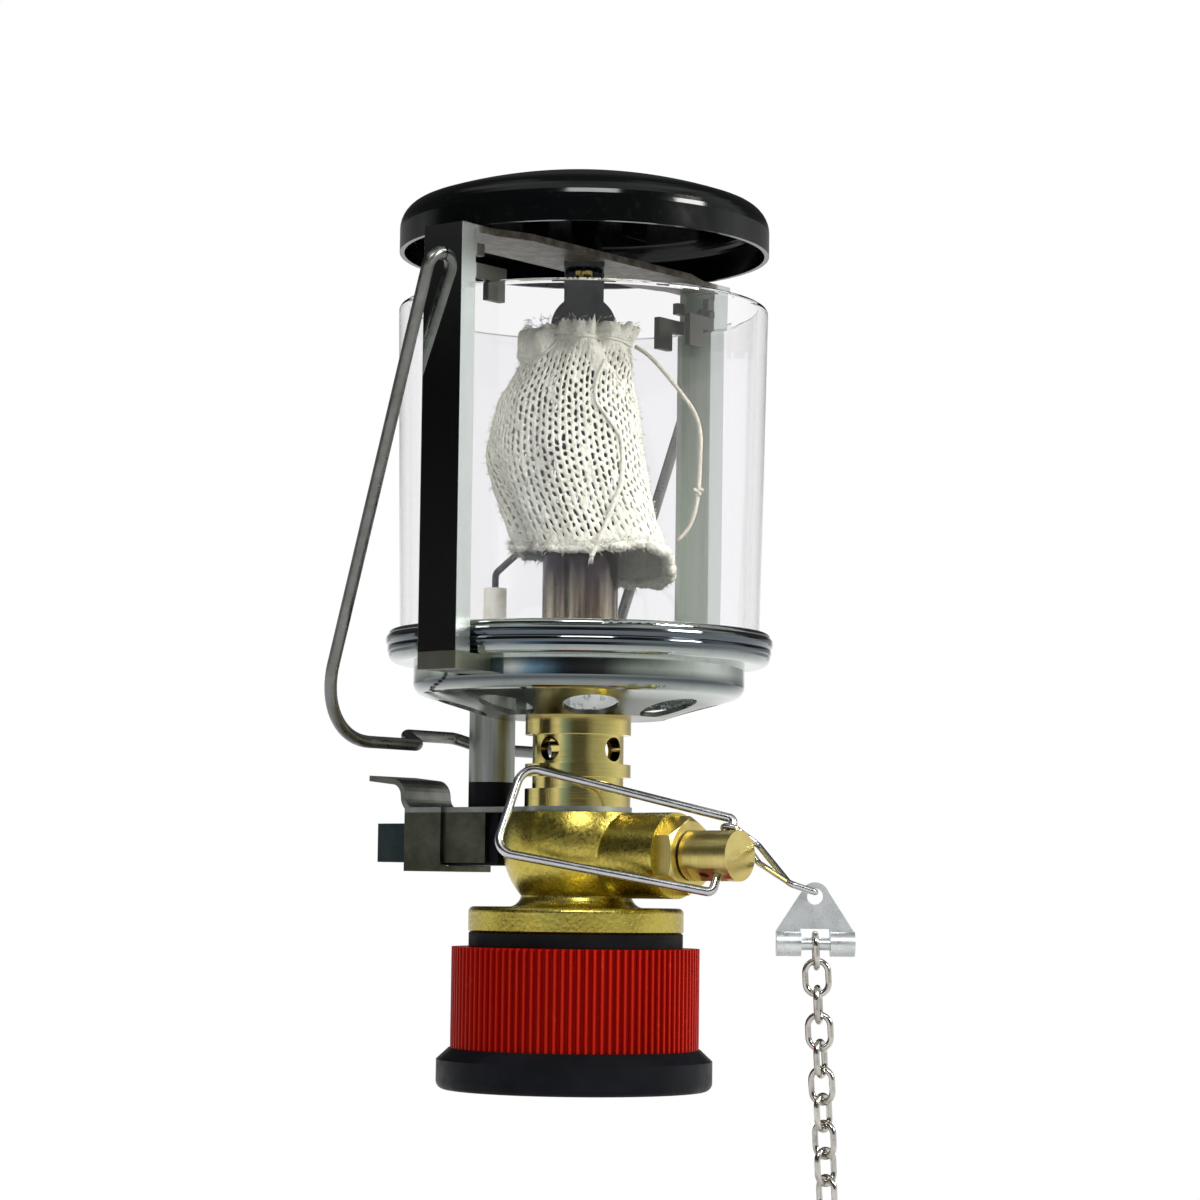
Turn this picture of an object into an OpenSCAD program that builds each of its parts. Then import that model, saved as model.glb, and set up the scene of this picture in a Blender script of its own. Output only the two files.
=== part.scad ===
// Small screw-cartridge butane lantern: coupling, cast valve, piezo igniter, burner with a
// soft mantle, glass globe, channel frame with a wire bail, and a hood.
// Millimetres. The origin is the centre of the foot's underside, where the cartridge enters.
// +Z is up, +X is the valve spindle, and the two posts of the frame stand on -Y and +Y.

/* [Foot and coupling] */
// Outer diameter of the foot ring
foot_d = 46.8; // [45:0.2:50]
// Height of the foot ring
foot_h = 6.9; // [6.4:0.1:8]
// Rounding of the foot's lower edge
foot_edge_r = 1.4; // [0.8:0.1:1.8]
// Height of the sloping shoulder on top of the foot
foot_shoulder_h = 1.9; // [1:0.1:2.4]
// Diameter of the recess that takes the cartridge's shoulder
recess_d = 35; // [33:0.5:37]
// Depth of that recess
recess_depth = 4.6; // [4.2:0.1:4.8]
// Outer diameter of the fluted grip ring
grip_d = 42.1; // [41:0.1:43.5]
// Height of the grip ring
grip_h = 17; // [16:0.2:19]
// Number of flutes round the grip ring
flute_count = 100; // [80:2:120]
// Depth of a flute
flute_depth = 0.5; // [0.3:0.05:0.7]
// Wall of the grip ring behind the flutes
grip_wall = 1.8; // [1.4:0.1:2]
// Thickness of the grip ring's top web
grip_web_t = 1.9; // [1.6:0.1:2.4]
// Minor diameter of the cartridge thread
thread_d = 10.3; // [10.1:0.1:10.6]
// Length of the thread
thread_len = 8.5; // [7:0.5:9]
// Outer diameter of the threaded hub
hub_d = 18; // [16:0.5:20]
// Thickness of the hub's flange
hub_flange_t = 2.2; // [1.6:0.1:3]
// Diameter of the washer under the valve's flange
washer_d = 36.4; // [35:0.2:38]
// Thickness of that washer
washer_t = 2.3; // [1.8:0.1:3]

/* [Valve] */
// Diameter of the valve body's flange
flange_d = 36.6; // [35:0.2:38]
// Thickness of the flange
flange_t = 4.4; // [4:0.2:5]
// Diameter of the spigot that the grip ring turns on
spigot_d = 20.1; // [19:0.1:21]
// Diameter of the cast bulb
bulb_d = 25.2; // [24:0.2:26.4]
// Height of the valve body above its flange
body_h = 16; // [15:0.2:17]
// Height of the spindle's axis above the flange
stem_rise = 8.8; // [8.4:0.1:9.2]
// Diameter of the boss that holds the spindle
boss_d = 14.4; // [14:0.1:14.8]
// Reach of the boss from the lantern's axis
boss_reach = 21.4; // [21:0.2:23]
// Width across flats of the gland nut
nut_af = 11.4; // [11:0.1:11.7]
// Thickness of the gland nut's head
nut_t = 3.1; // [2.6:0.1:3.6]
// Diameter of the gland nut's threaded shank
gland_d = 9.8; // [9:0.1:10.4]
// Diameter of the spindle inside the gland
shaft_d = 5; // [4.4:0.1:5.4]
// Diameter of the spindle's head
stem_d = 8.4; // [8:0.1:8.6]
// Length of the spindle's head
stem_len = 9.6; // [9:0.1:11]
// Distance between the head's two milled flats
stem_flats = 7; // [6.6:0.1:7.4]
// Distance of the cross hole from the end of the head
cross_hole_inset = 3.4; // [3:0.1:4]
// Diameter of the gas passages
gas_bore_d = 2.4; // [1.8:0.1:3]

/* [Valve key and chain] */
// Wire diameter of the folding valve key
key_wire = 1.5; // [1.2:0.1:1.6]
// Length of the key from its hinge to its closed end
key_len = 37.4; // [36:0.2:39]
// Width of the key at its closed end
key_end_w = 17.6; // [17:0.1:18.4]
// Width of the key at its hinge
key_hinge_w = 15; // [14.9:0.1:15.8]
// Lean of the key's hinge from upright
key_lean = 26; // [22:1:30]
// Angle between the folded key and the spindle
key_fold = 27.6; // [27:0.2:30]
// Wire diameter of the link between the spindle and the chain plate
link_wire = 1; // [0.8:0.05:1]
// Reach of that link past the hinge
link_reach = 17; // [16:0.5:19]
// Drop of that link below the hinge
link_drop = 5.8; // [5:0.2:7]
// Width of the chain plate across its two barrels
tag_w = 12.6; // [12:0.2:14]
// Height of the chain plate from its hole to its barrels
tag_h = 7.6; // [7:0.2:9]
// Diameter of the plate's hole
tag_hole_d = 2.6; // [2.4:0.1:2.8]
// Outer diameter of a barrel
barrel_d = 4; // [3.8:0.1:4.4]
// Thickness of the plate
tag_t = 0.7; // [0.6:0.05:0.9]
// Diameter of the pin through the barrels
tag_pin_d = 2; // [1.8:0.05:2.1]
// Wire diameter of the chain
chain_wire = 1; // [0.9:0.05:1.05]
// Outer length of a chain link
chain_link_len = 6.4; // [6.2:0.1:7]
// Outer width of a chain link
chain_link_w = 4.7; // [4.6:0.1:5.2]
// Number of chain links
chain_links = 12; // [4:1:16]
// Lean of the hanging chain from upright
chain_lean = 3; // [0:0.5:5]

/* [Igniter] */
// Thickness of the igniter bracket's sheet
bracket_t = 1; // [0.8:0.1:1.2]
// Distance of the igniter tube from the lantern's axis
igniter_x = 19.3; // [18.8:0.1:20]
// Diameter of the igniter tube
igniter_tube_d = 8; // [7.4:0.1:8.4]
// Height of the black sleeve under that tube
sleeve_h = 4.4; // [3.6:0.2:6]
// Width of the piezo unit
piezo_w = 10; // [9.4:0.2:10.6]
// Height of the piezo unit
piezo_h = 9; // [8.6:0.1:9.4]
// Length of the piezo unit
piezo_len = 17.6; // [16.6:0.2:18]
// Width of the push button
button_w = 6.6; // [6:0.1:7]
// Height of the push button
button_h = 6.8; // [6.4:0.1:7]
// How far the button stands out of its clip
button_out = 9.4; // [8:0.2:10]
// How far the button travels
button_travel = 4; // [3:0.5:5]
// Rise of the finger rest over the bracket
rest_rise = 5.1; // [5:0.1:6.4]
// Reach of the finger rest past its bend
rest_reach = 5.5; // [4:0.5:7]
// Diameter of the ceramic insulator
ceramic_d = 4.1; // [3.6:0.1:4.4]
// Height of the insulator's tip above the pan's floor
ceramic_rise = 23.2; // [20:0.2:25]
// Diameter of the electrode
electrode_d = 1.2; // [1:0.1:1.4]

/* [Burner] */
// Diameter of the neck's collars
collar_d = 18.1; // [17:0.1:18.4]
// Diameter of the neck between its collars
neck_d = 15.6; // [15:0.1:16]
// Height of the neck
neck_h = 15.1; // [14.6:0.1:17]
// Diameter of the neck's four air holes
air_hole_d = 4.1; // [3.4:0.1:4.5]
// Diameter of the burner tube
burner_d = 13; // [12:0.1:13.4]
// Height of the burner tube above the pan's floor
burner_rise = 33.5; // [31:0.5:34]
// Wall of the burner tube
burner_wall = 0.7; // [0.5:0.1:1]

/* [Pan and glass] */
// Diameter of the pan's rim
pan_rim_d = 66.2; // [65.6:0.1:66.4]
// Height of the pan's rim
pan_rim_h = 5.6; // [5:0.1:6.4]
// Diameter of the pan's lower band
pan_band_d = 56.6; // [55.6:0.2:57.2]
// Depth of the pan from its floor to its ledge
pan_depth = 9; // [8.4:0.1:10]
// Rise of the pan's conical bottom
pan_cone_h = 3.4; // [2.6:0.1:4]
// Sheet thickness of the pan
pan_t = 0.8; // [0.6:0.05:0.9]
// Diameter of the pan's vent holes
vent_d = 9.5; // [9.2:0.1:10]
// Number of vent holes
vent_count = 8; // [6:2:10]
// Outer diameter of the glass at its foot
glass_foot_d = 61.4; // [60.6:0.1:61.8]
// Outer diameter of the glass at its top
glass_top_d = 63.6; // [62:0.1:63.8]
// Height of the glass
glass_h = 60.8; // [58:0.2:61]
// Wall of the glass
glass_wall = 1.7; // [1.4:0.1:2]

/* [Mantle] */
// Height of the mantle
mantle_h = 40; // [38:0.5:41]
// Width of the mantle where it bulges most
mantle_w = 27.2; // [25:0.2:28]
// Thickness of the mantle's cloth
cloth_t = 0.6; // [0.4:0.05:0.8]
// Diameter of the holder's round plate
holder_d = 11.4; // [10.6:0.2:11.8]
// Diameter of the tie string
string_d = 0.8; // [0.6:0.1:1]

/* [Frame and hood] */
// Height of the frame from the pan's ledge to its strap
frame_h = 70.6; // [70:0.2:73]
// Gap from a post to the pan's rim, or to the glass where that is wider
post_gap = 0.3; // [0.2:0.05:0.9]
// Width of a post
post_w = 8.2; // [7.6:0.2:9]
// Depth of a post's channel
post_depth = 3.5; // [3:0.1:3.5]
// Sheet thickness of the frame
frame_t = 1.2; // [0.9:0.1:1.2]
// Drop of a post's foot below the pan's ledge
foot_drop = 2.7; // [2.4:0.1:3]
// Width of the strap in the middle
strap_w = 13; // [10:0.5:15]
// Distance of the bail's pivots below the top of the strap
pivot_drop = 4.9; // [4.4:0.1:5.4]
// Wire diameter of the bail
bail_wire = 2.1; // [1.9:0.1:2.2]
// Length of the bail from its pivots to its grip
bail_len = 84; // [82:0.5:88]
// Gap between a post and the bail's leg at the pivot
bail_gap = 1.85; // [1.6:0.05:3]
// Taper of each bail leg over its length
bail_taper = 4.8; // [3:0.2:5]
// Lean of the hanging bail from upright
bail_lean = 19.7; // [18:0.5:24]
// Depth of the hanging kink in the grip
kink_h = 5.8; // [4:0.2:7]
// Diameter of the hood
hood_d = 63.8; // [60:0.2:65]
// Height of the hood
hood_h = 13.4; // [12:0.2:15]
// Height of the hood's upright band
hood_band = 4; // [3:0.2:5]
// Radius of the hood's shoulder
hood_shoulder_r = 4.6; // [3.6:0.2:5.2]
// Sheet thickness of the hood
hood_t = 0.8; // [0.6:0.1:1]

/* [Fits] */
// Running clearance on a radius
run_fit = 0.1; // [0.06:0.01:0.1]
// Clearance on a radius between fixed pieces
seat_fit = 0.05; // [0.03:0.01:0.08]
// Gap between pieces that only come close
free_gap = 0.3; // [0.3:0.05:0.4]

/* [Hidden] */
$fn = 64;
eps = 0.01;
bend_lap = 0.08;
bend_swell = 0.02;
// The side of the lantern that the chain plate, the mantle and its holder face
face_turn = 39;

// Heights from the foot upward
grip_z = foot_h;
grip_top_z = grip_z + grip_h;
washer_z = grip_top_z + run_fit;
flange_z = washer_z + washer_t;
flange_top_z = flange_z + flange_t;
stem_z = flange_top_z + stem_rise;
body_top_z = flange_top_z + body_h;
plate_top_z = body_top_z + bracket_t;
floor_z = plate_top_z + neck_h;
ledge_z = floor_z + pan_depth;
glass_z = ledge_z + pan_t;
glass_top_z = glass_z + glass_h;
rim_top_z = ledge_z + pan_rim_h;
strap_z = ledge_z + frame_h;
strap_low_z = strap_z - frame_t;
pivot_z = strap_z - pivot_drop;
hood_z = strap_z + free_gap;

// Coupling
foot_r = foot_d / 2;
grip_r = grip_d / 2;
grip_bore_r = grip_r - flute_depth - grip_wall;
spigot_r = spigot_d / 2;
hub_mouth_z = recess_depth;
thread_end_z = hub_mouth_z + thread_len;
oring_wire = 1.8;
nose_r = 3.9;
nose_len = 2.4;
hub_top_z = thread_end_z + nose_len;
spigot_z = hub_top_z + free_gap;
nose_z = spigot_z - nose_len;
clip_t = 1;
clip_z = grip_top_z - grip_web_t - clip_t - run_fit;
clip_groove = 1;
clip_lip = 1.8;
clip_gap = 4;
depressor_d = gas_bore_d - 2 * seat_fit;
depressor_flat = 0.4;
depressor_seat = 3;

// Valve
bulb_r = bulb_d / 2;
bulb_drop = 5.7;
bulb_z = body_top_z - bulb_drop;
flange_edge_r = 0.9;
flange_chamfer = 0.4;
valve_fillet = 2.2;
valve_neck_r = 9.4;
top_boss_r = 4;
top_boss_h = 3.6;
jet_d = 4.4;
jet_seat_depth = 2.4;
jet_h = 6;
jet_hole_d = 0.5;
jet_base_d = 6;
jet_tip_d = 3;
jet_tip_t = 1;
gland_len = 7;
nut_slope = 2;
nut_face_x = boss_reach + nut_t;
stem_x = nut_face_x + free_gap;
stem_end_x = stem_x + stem_len;
needle_x = 5;
needle_len = 4;
needle_tip_d = 0.6;
gland_end_x = boss_reach - gland_len;
stem_ring_wire = 1.2;

// Valve key: hinge axis, side that the key folds to, and direction of its arms
hinge_p = [stem_end_x - cross_hole_inset, 0, stem_z];
hinge_dir = [0, sin(key_lean), cos(key_lean)];
fold_side = [0, -cos(key_lean), sin(key_lean)];
arm_dir = -cos(key_fold) * [1, 0, 0] + sin(key_fold) * fold_side;
cross_hole_d = key_wire + 2 * run_fit;
key_pin_depth = 2.4;
spare_hole_inset = 6.2;
flat_start = 1.4;
flat_end = 1.6;

// Link and chain plate
eye_r = key_wire / 2 + run_fit + link_wire / 2;
eye_off = stem_flats / 2 + free_gap + link_wire;
link_side = 2;
link_tip = hinge_p + [link_reach, link_side, -link_drop];
link_half = 1.4;
link_pass = stem_d / 2 + link_wire / 2 + 2 * free_gap + run_fit;
link_back = 2.2;
// Where the strands pass the spindle: distance from its end, and angle round it
link_passes = [[0, 20], [0, -12], [link_back, 16]];
link_knee_run = 4;
link_knee_rise = 1.3;
link_knee = [-link_knee_run * cos(face_turn), -link_knee_run * sin(face_turn), link_knee_rise];
link_bend = 1.2;
link_tight_bend = 0.7;
tag_drop = tag_hole_d / 2 - link_wire / 2 - run_fit;
tag_apex_r = 2.3;
tag_flank = 20;
notch_w = 4.7;
notch_gap = 0.4;
barrel_r = barrel_d / 2;
barrel_bore = tag_pin_d + 2 * seat_fit;
barrel_y = -(barrel_r - tag_t / 2);
barrel_z = -tag_drop - tag_h;
chain_pitch = chain_link_len - 2 * chain_wire - run_fit;
link_bend_r = (chain_link_w - chain_wire) / 2;
link_straight = chain_link_len - chain_link_w;
first_link_drop = chain_link_len / 2 - chain_wire - tag_pin_d / 2 - run_fit;
chain_twist = 84;
hook_wire = 1.2;
hook_r = 2.6;

// Igniter
sleeve_top_z = plate_top_z + sleeve_h;
igniter_rise = 4.8;
igniter_top_z = floor_z + igniter_rise;
lead_tuck = 3;
ceramic_z = sleeve_top_z + lead_tuck;
ceramic_top_z = floor_z + ceramic_rise;
piezo_top_z = body_top_z;
piezo_low_z = piezo_top_z - piezo_h;
piezo_gap = 0.8;
piezo_x = -bulb_r - piezo_gap;
piezo_end_x = piezo_x - piezo_len;
clip_len = 8.4;
clip_front = 2.4;
clip_end_x = piezo_end_x - clip_front;
clip_foot = 1.1;
clip_swell = 0.7;
side_plate_rise = 0.4;
side_plate_len = 9.6;
bracket_ring_r = 9.3;
lead_d = 2;
button_end_x = clip_end_x - button_out;
button_rise = 0.5;
button_z = piezo_low_z + button_rise;
button_depth = 11;
rest_bend_r = 2;
rest_root = 1.4;
rest_lap = 3;
rest_slope = 0.6;
rest_x = clip_end_x + rest_root;
electrode_rise = 2.6;
electrode_reach = [6.6, 0, 4.2];

// Burner
neck_z = plate_top_z;
collar_low_h = 3;
collar_mid_z = neck_z + 5;
collar_mid_h = 2.2;
collar_top_h = 2.9;
air_hole_z = (collar_mid_z + collar_mid_h + floor_z - collar_top_h) / 2;
neck_bore_r = 6;
burner_seat = 2.5;
burner_z = floor_z - burner_seat;
burner_top_z = floor_z + burner_rise;
burner_r = burner_d / 2;
burner_nut_d = 19;
burner_nut_t = 3;
gauze_t = 0.8;
gauze_inset = 2;
gauze_hole_share = 0.55;

// Pan and glass
pan_floor_r = 15;
pan_band_r = pan_band_d / 2;
pan_rim_r = pan_rim_d / 2;
pan_corner_r = 2.4;
pan_glass_room = 0.2;
rim_swell = 0.45;
rim_wall_r = pan_rim_r - rim_swell;
rim_groove = 0.38;
pan_rim_corner_r = rim_wall_r - glass_foot_d / 2 - pan_glass_room;
bead_r = 0.8;
lip_r = glass_wall / 2;

// Frame
frame_w = max(pan_rim_d, glass_top_d) + 2 * (post_gap + post_depth);
post_y = frame_w / 2;
post_in_y = post_y - post_depth;
strap_wide_y = 22;
strap_taper_y = 29;
tab_h = 2.4;
hook_drop = 3;
hook_w = 4;
hook_y = sqrt(pow(glass_top_d / 2 - glass_wall, 2) - pow(post_w / 2, 2)) - free_gap;
lug_rise = 4;
lug_h = 2;
lug_len = 2.2;
foot_z = ledge_z - foot_drop;
foot_lap = 1;
pivot_hole_d = bail_wire + 2 * run_fit;

// Bail: unit vectors down its plane and outward from it
bail_down = [-sin(bail_lean), 0, -cos(bail_lean)];
bail_out = [-cos(bail_lean), 0, sin(bail_lean)];
bail_half = post_y + bail_wire / 2 + bail_gap;
bail_pin_end = post_in_y + 1.2;
kink_half = 9;
kink_top_half = 6.6;
bail_bends = [2.5, 14, 2, 2, 2, 2, 14, 2.5];

// Hood
hood_r = hood_d / 2;
hood_top_z = hood_z + hood_h;
stud_d = 3;
spider_half = 11.4;
spider_w = 6;
spider_t = 0.8;
spider_leg = 9;
spacer_r = 2.3;
spacer_bell_r = 3.6;
spacer_bell_h = 4;
holder_t = 0.8;
holder_y = 3.2;
holder_stem_w = 6.9;
holder_gap = 0.6;
tie_x = 3.7;
tie_hole_d = 1.4;
star_t = 0.7;
star_r = 3.2;
star_core_r = 2.6;
star_teeth = 10;
tooth_root = 1.4;
tooth_tip = 0.9;
stud_end = 0.8;

// Mantle: height share, lean to the facing side, half width, depth and slant as shares of its width
mantle_drop = 3.2;
mantle_top_z = glass_top_z - mantle_drop;
mantle_rows = [
    [0.00, -0.022, 0.66, 0.58, 0],
    [0.06, -0.018, 0.60, 0.54, 0],
    [0.13, -0.037, 0.68, 0.58, 0],
    [0.22, -0.066, 0.75, 0.66, 0],
    [0.33, -0.092, 0.87, 0.74, 0],
    [0.53, -0.099, 0.99, 0.81, 0],
    [0.67, -0.074, 1.00, 0.80, 0.011],
    [0.80, -0.022, 0.99, 0.76, 0.037],
    [0.90, 0.029, 0.99, 0.73, 0.074],
    [1.00, 0.074, 1.00, 0.70, 0.121],
];
mantle_folds = 9;
fold_depth = 0.035;
fold_fade = 0.6;
fold_twist = 25;
mantle_sides = 45;
mantle_steps = 12;

// Tie string, from the mantle's neck: along the facing side, across it, height
string_route = [
    [8.9, -1.5, 126.8], [11, -2, 125.4], [13.2, -2, 123.2], [15.4, -2, 120.6], [17.4, -1.6, 118.2],
    [19, -1.2, 116], [20, -0.8, 113.6], [20.4, -0.4, 111], [20.4, 0, 108], [20.3, 0, 105],
    [20.1, 0, 102], [19.7, 0, 99.2], [19, 0.2, 96.8], [18, 0.4, 95], [16.6, 0.6, 93.6],
];

// Points along an arc
function arc(x, y, r, from, to, steps = 8) =
    [for (i = [0:steps]) let (a = from + (to - from) * i / steps) [x + r * cos(a), y + r * sin(a)]];

function unit(v) = v / norm(v);

// Vector v turned by an angle about the unit axis k
function turned(v, k, angle) = v * cos(angle) + cross(k, v) * sin(angle) + k * (k * v) * (1 - cos(angle));

// Smooth value between rows of a table at place t, by a cubic through four rows
function blend(rows, col, i, t) =
    let (
        n = len(rows) - 1,
        p = [for (j = [-1:2]) rows[min(max(i + j, 0), n)][col]]
    )
    p[1] + t / 2 * (p[2] - p[0] + t * (2 * p[0] - 5 * p[1] + 4 * p[2] - p[3]
        + t * (3 * (p[1] - p[2]) + p[3] - p[0])));

// Children moved so that their Z lies along n and their X along u, at place p
module placed(p, n, u) {
    tilt = acos(max(-1, min(1, n.z)));
    flat = norm([n.x, n.y]) < 1e-6;
    k = flat ? [1, 0, 0] : unit([-n.y, n.x, 0]);
    x_now = turned([1, 0, 0], k, tilt);
    spin = atan2(cross(x_now, u) * n, x_now * u);
    translate(p) rotate(tilt, k) rotate([0, 0, spin]) children();
}

// A round rod between two points
module rod(a, b, d) {
    n = unit(b - a);
    tilt = acos(max(-1, min(1, n.z)));
    flat = norm([n.x, n.y]) < 1e-6;
    k = flat ? [1, 0, 0] : unit([-n.y, n.x, 0]);
    translate(a) rotate(tilt, k) cylinder(h = norm(b - a), d = d);
}

// Where a bend of radius r at corner i of a wire starts and ends, measured along its legs
function bend_run(pts, i, r) =
    let (a = unit(pts[i] - pts[i - 1]), b = unit(pts[i + 1] - pts[i]))
    r * tan(acos(max(-1, min(1, a * b))) / 2);

// A bent wire through corner points, with one bend radius for each inner corner. The bends are
// a hair thicker than the straight runs, which reach a little way into them.
module wire(pts, d, radii) {
    last = len(pts) - 1;
    runs = [for (i = [0:last]) i == 0 || i == last ? 0 : bend_run(pts, i, radii[i - 1]) - bend_lap];
    for (i = [0:last - 1]) {
        dir = unit(pts[i + 1] - pts[i]);
        rod(pts[i] + dir * runs[i], pts[i + 1] - dir * runs[i + 1], d);
    }
    for (i = [1:last - 1]) {
        a = unit(pts[i] - pts[i - 1]);
        b = unit(pts[i + 1] - pts[i]);
        toward = unit(b - a * (a * b));
        start = pts[i] - a * bend_run(pts, i, radii[i - 1]);
        placed(start + toward * radii[i - 1], unit(cross(a, b)), -toward)
            rotate_extrude(angle = acos(a * b))
                translate([radii[i - 1], 0])
                    circle(d = d + bend_swell, $fn = 32);
    }
}

// A cylinder along X from x0 to x1 at the spindle's height
module stem_cylinder(x0, x1, d) {
    translate([x0, 0, stem_z])
        rotate([0, 90, 0])
            cylinder(h = x1 - x0, d = d);
}

// A box given by its two corners
module box(low, high) {
    translate(low) cube(high - low);
}

// Foot ring with the cartridge recess, black
module foot_ring() {
    color("#1c1c1e")
        rotate_extrude()
            polygon(concat(
                [[recess_d / 2, 0]],
                arc(foot_r - foot_edge_r, foot_edge_r, foot_edge_r, -90, 0),
                [
                    [foot_r, foot_h - foot_shoulder_h],
                    [grip_r + free_gap, foot_h],
                    [hub_d / 2 + seat_fit, foot_h],
                    [hub_d / 2 + seat_fit, recess_depth],
                    [recess_d / 2, recess_depth],
                ]
            ));
}

// Outline of the flutes
module flute_outline() {
    pitch = 360 / flute_count;
    low_r = grip_r - flute_depth;
    polygon([
        for (i = [0:flute_count - 1], p = [[0.08, grip_r], [0.42, grip_r], [0.58, low_r], [0.92, low_r]])
            [p[1] * cos((i + p[0]) * pitch), p[1] * sin((i + p[0]) * pitch)]
    ]);
}

// Fluted ring that turns on the valve's spigot, red
module grip_ring() {
    color("#b23326")
        difference() {
            translate([0, 0, grip_z]) linear_extrude(grip_h) flute_outline();
            translate([0, 0, grip_z - eps]) cylinder(h = grip_h - grip_web_t + eps, r = grip_bore_r);
            translate([0, 0, grip_z]) cylinder(h = grip_h + eps, r = spigot_r + run_fit);
        }
}

// Threaded hub, carried on the foot and turned by the grip ring, brass
module thread_hub() {
    color("#c9a24a")
        difference() {
            union() {
                translate([0, 0, hub_mouth_z]) cylinder(h = hub_top_z - hub_mouth_z, d = hub_d);
                translate([0, 0, foot_h]) cylinder(h = hub_flange_t, r = grip_bore_r - seat_fit);
            }
            translate([0, 0, hub_mouth_z - eps]) cylinder(h = thread_len + 2 * eps, d = thread_d);
            translate([0, 0, thread_end_z])
                cylinder(h = hub_top_z, r = nose_r + oring_wire + free_gap);
        }
}

// Washer between the grip ring and the valve's flange, black
module flange_washer() {
    color("#202022")
        translate([0, 0, washer_z])
            difference() {
                cylinder(h = washer_t, d = washer_d);
                translate([0, 0, -eps]) cylinder(h = washer_t + 2 * eps, r = spigot_r + seat_fit);
            }
}

// Cast valve body: spigot, flange, bulb and spindle boss
module valve_body() {
    flange_r = flange_d / 2;
    fillet_z = flange_t + valve_fillet;
    color("#b98f2e")
        difference() {
            union() {
                translate([0, 0, spigot_z]) cylinder(h = flange_z - spigot_z + eps, r = spigot_r);
                translate([0, 0, nose_z]) cylinder(h = nose_len + eps, r = nose_r);
                translate([0, 0, flange_z])
                    rotate_extrude()
                        polygon(concat(
                            [[0, 0], [flange_r - flange_chamfer, 0], [flange_r, flange_chamfer]],
                            arc(flange_r - flange_edge_r, flange_t - flange_edge_r, flange_edge_r, 0, 90, 6),
                            arc(valve_neck_r + valve_fillet, fillet_z, valve_fillet, 270, 180, 6),
                            [[0, fillet_z]]
                        ));
                translate([0, 0, flange_top_z]) cylinder(h = stem_rise, r = valve_neck_r);
                intersection() {
                    translate([0, 0, bulb_z]) sphere(r = bulb_r);
                    translate([0, 0, flange_top_z]) cylinder(h = body_h, r = 2 * bulb_r);
                }
                stem_cylinder(0, boss_reach, boss_d);
                translate([0, 0, body_top_z - eps]) cylinder(h = top_boss_h + eps, r = top_boss_r);
            }
            translate([0, 0, nose_z - eps]) cylinder(h = body_top_z + top_boss_h, d = gas_bore_d);
            translate([0, 0, body_top_z + top_boss_h - jet_seat_depth])
                cylinder(h = top_boss_h, d = jet_d + 2 * seat_fit);
            stem_cylinder(needle_x - 1, boss_reach + eps, shaft_d + 2 * run_fit);
            stem_cylinder(gland_end_x - stem_ring_wire - seat_fit, boss_reach + eps, gland_d + 2 * seat_fit);
            translate([0, 0, clip_z - seat_fit])
                difference() {
                    cylinder(h = clip_t + 2 * seat_fit, r = 2 * spigot_r);
                    cylinder(h = clip_t + 2 * seat_fit, r = spigot_r - clip_groove);
                }
        }
}

// O-ring on the inlet nose
module inlet_oring() {
    color("#161616")
        translate([0, 0, nose_z + oring_wire / 2])
            rotate_extrude()
                translate([nose_r + seat_fit + oring_wire / 2, 0])
                    circle(d = oring_wire, $fn = 32);
}

// Pin that opens the cartridge's valve
module depressor_pin() {
    color("#c9a24a")
        translate([0, 0, thread_end_z])
            difference() {
                cylinder(h = spigot_z - thread_end_z + depressor_seat, d = depressor_d, $fn = 32);
                box(
                    [depressor_d / 2 - depressor_flat, -depressor_d, -eps],
                    [depressor_d, depressor_d, spigot_z]
                );
            }
}

// Clip that holds the grip ring on the spigot, open at one side
module retaining_clip() {
    color("#6d6d70")
        translate([0, 0, clip_z])
            difference() {
                cylinder(h = clip_t, r = spigot_r + clip_lip);
                translate([0, 0, -eps]) cylinder(h = clip_t + 2 * eps, r = spigot_r - clip_groove + seat_fit);
                box([0, -clip_gap / 2, -eps], [spigot_d, clip_gap / 2, clip_t + eps]);
            }
}

// Gland nut with its shank, brass
module gland_nut() {
    color("#c39a3c")
        difference() {
            union() {
                translate([boss_reach, 0, stem_z])
                    rotate([0, 90, 0])
                        intersection() {
                            cylinder(h = nut_t, d = nut_af / cos(30), $fn = 6);
                            cylinder(h = nut_t, r1 = nut_af / 2 + nut_slope * nut_t, r2 = nut_af / 2);
                        }
                stem_cylinder(gland_end_x, boss_reach + eps, gland_d);
            }
            stem_cylinder(gland_end_x - eps, nut_face_x + eps, shaft_d + 2 * run_fit);
        }
}

// Seal round the spindle behind the gland
module spindle_oring() {
    ring_in = shaft_d + 2 * run_fit;
    color("#161616")
        difference() {
            stem_cylinder(gland_end_x - stem_ring_wire, gland_end_x - seat_fit, gland_d);
            stem_cylinder(gland_end_x - stem_ring_wire - eps, gland_end_x, ring_in);
        }
}

// Valve spindle with flats, cross hole and needle, brass
module valve_spindle() {
    color("#c9a24a")
        difference() {
            union() {
                stem_cylinder(needle_x + needle_len, stem_x + eps, shaft_d);
                translate([needle_x, 0, stem_z])
                    rotate([0, 90, 0])
                        cylinder(h = needle_len, d1 = needle_tip_d, d2 = shaft_d);
                stem_cylinder(stem_x, stem_end_x, stem_d);
            }
            for (side = [-1, 1])
                translate([stem_x + flat_start, 0, stem_z])
                    rotate([-key_lean, 0, 0])
                        translate([0, -stem_d / 2, side * stem_d - (stem_d - stem_flats / 2)])
                            cube([stem_len - flat_start - flat_end, stem_d, 2 * stem_d - stem_flats]);
            for (inset = [cross_hole_inset, spare_hole_inset])
                translate([stem_end_x - inset, 0, stem_z])
                    rotate([-key_lean, 0, 0])
                        cylinder(h = 2 * stem_d, d = cross_hole_d, center = true, $fn = 32);
        }
}

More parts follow.
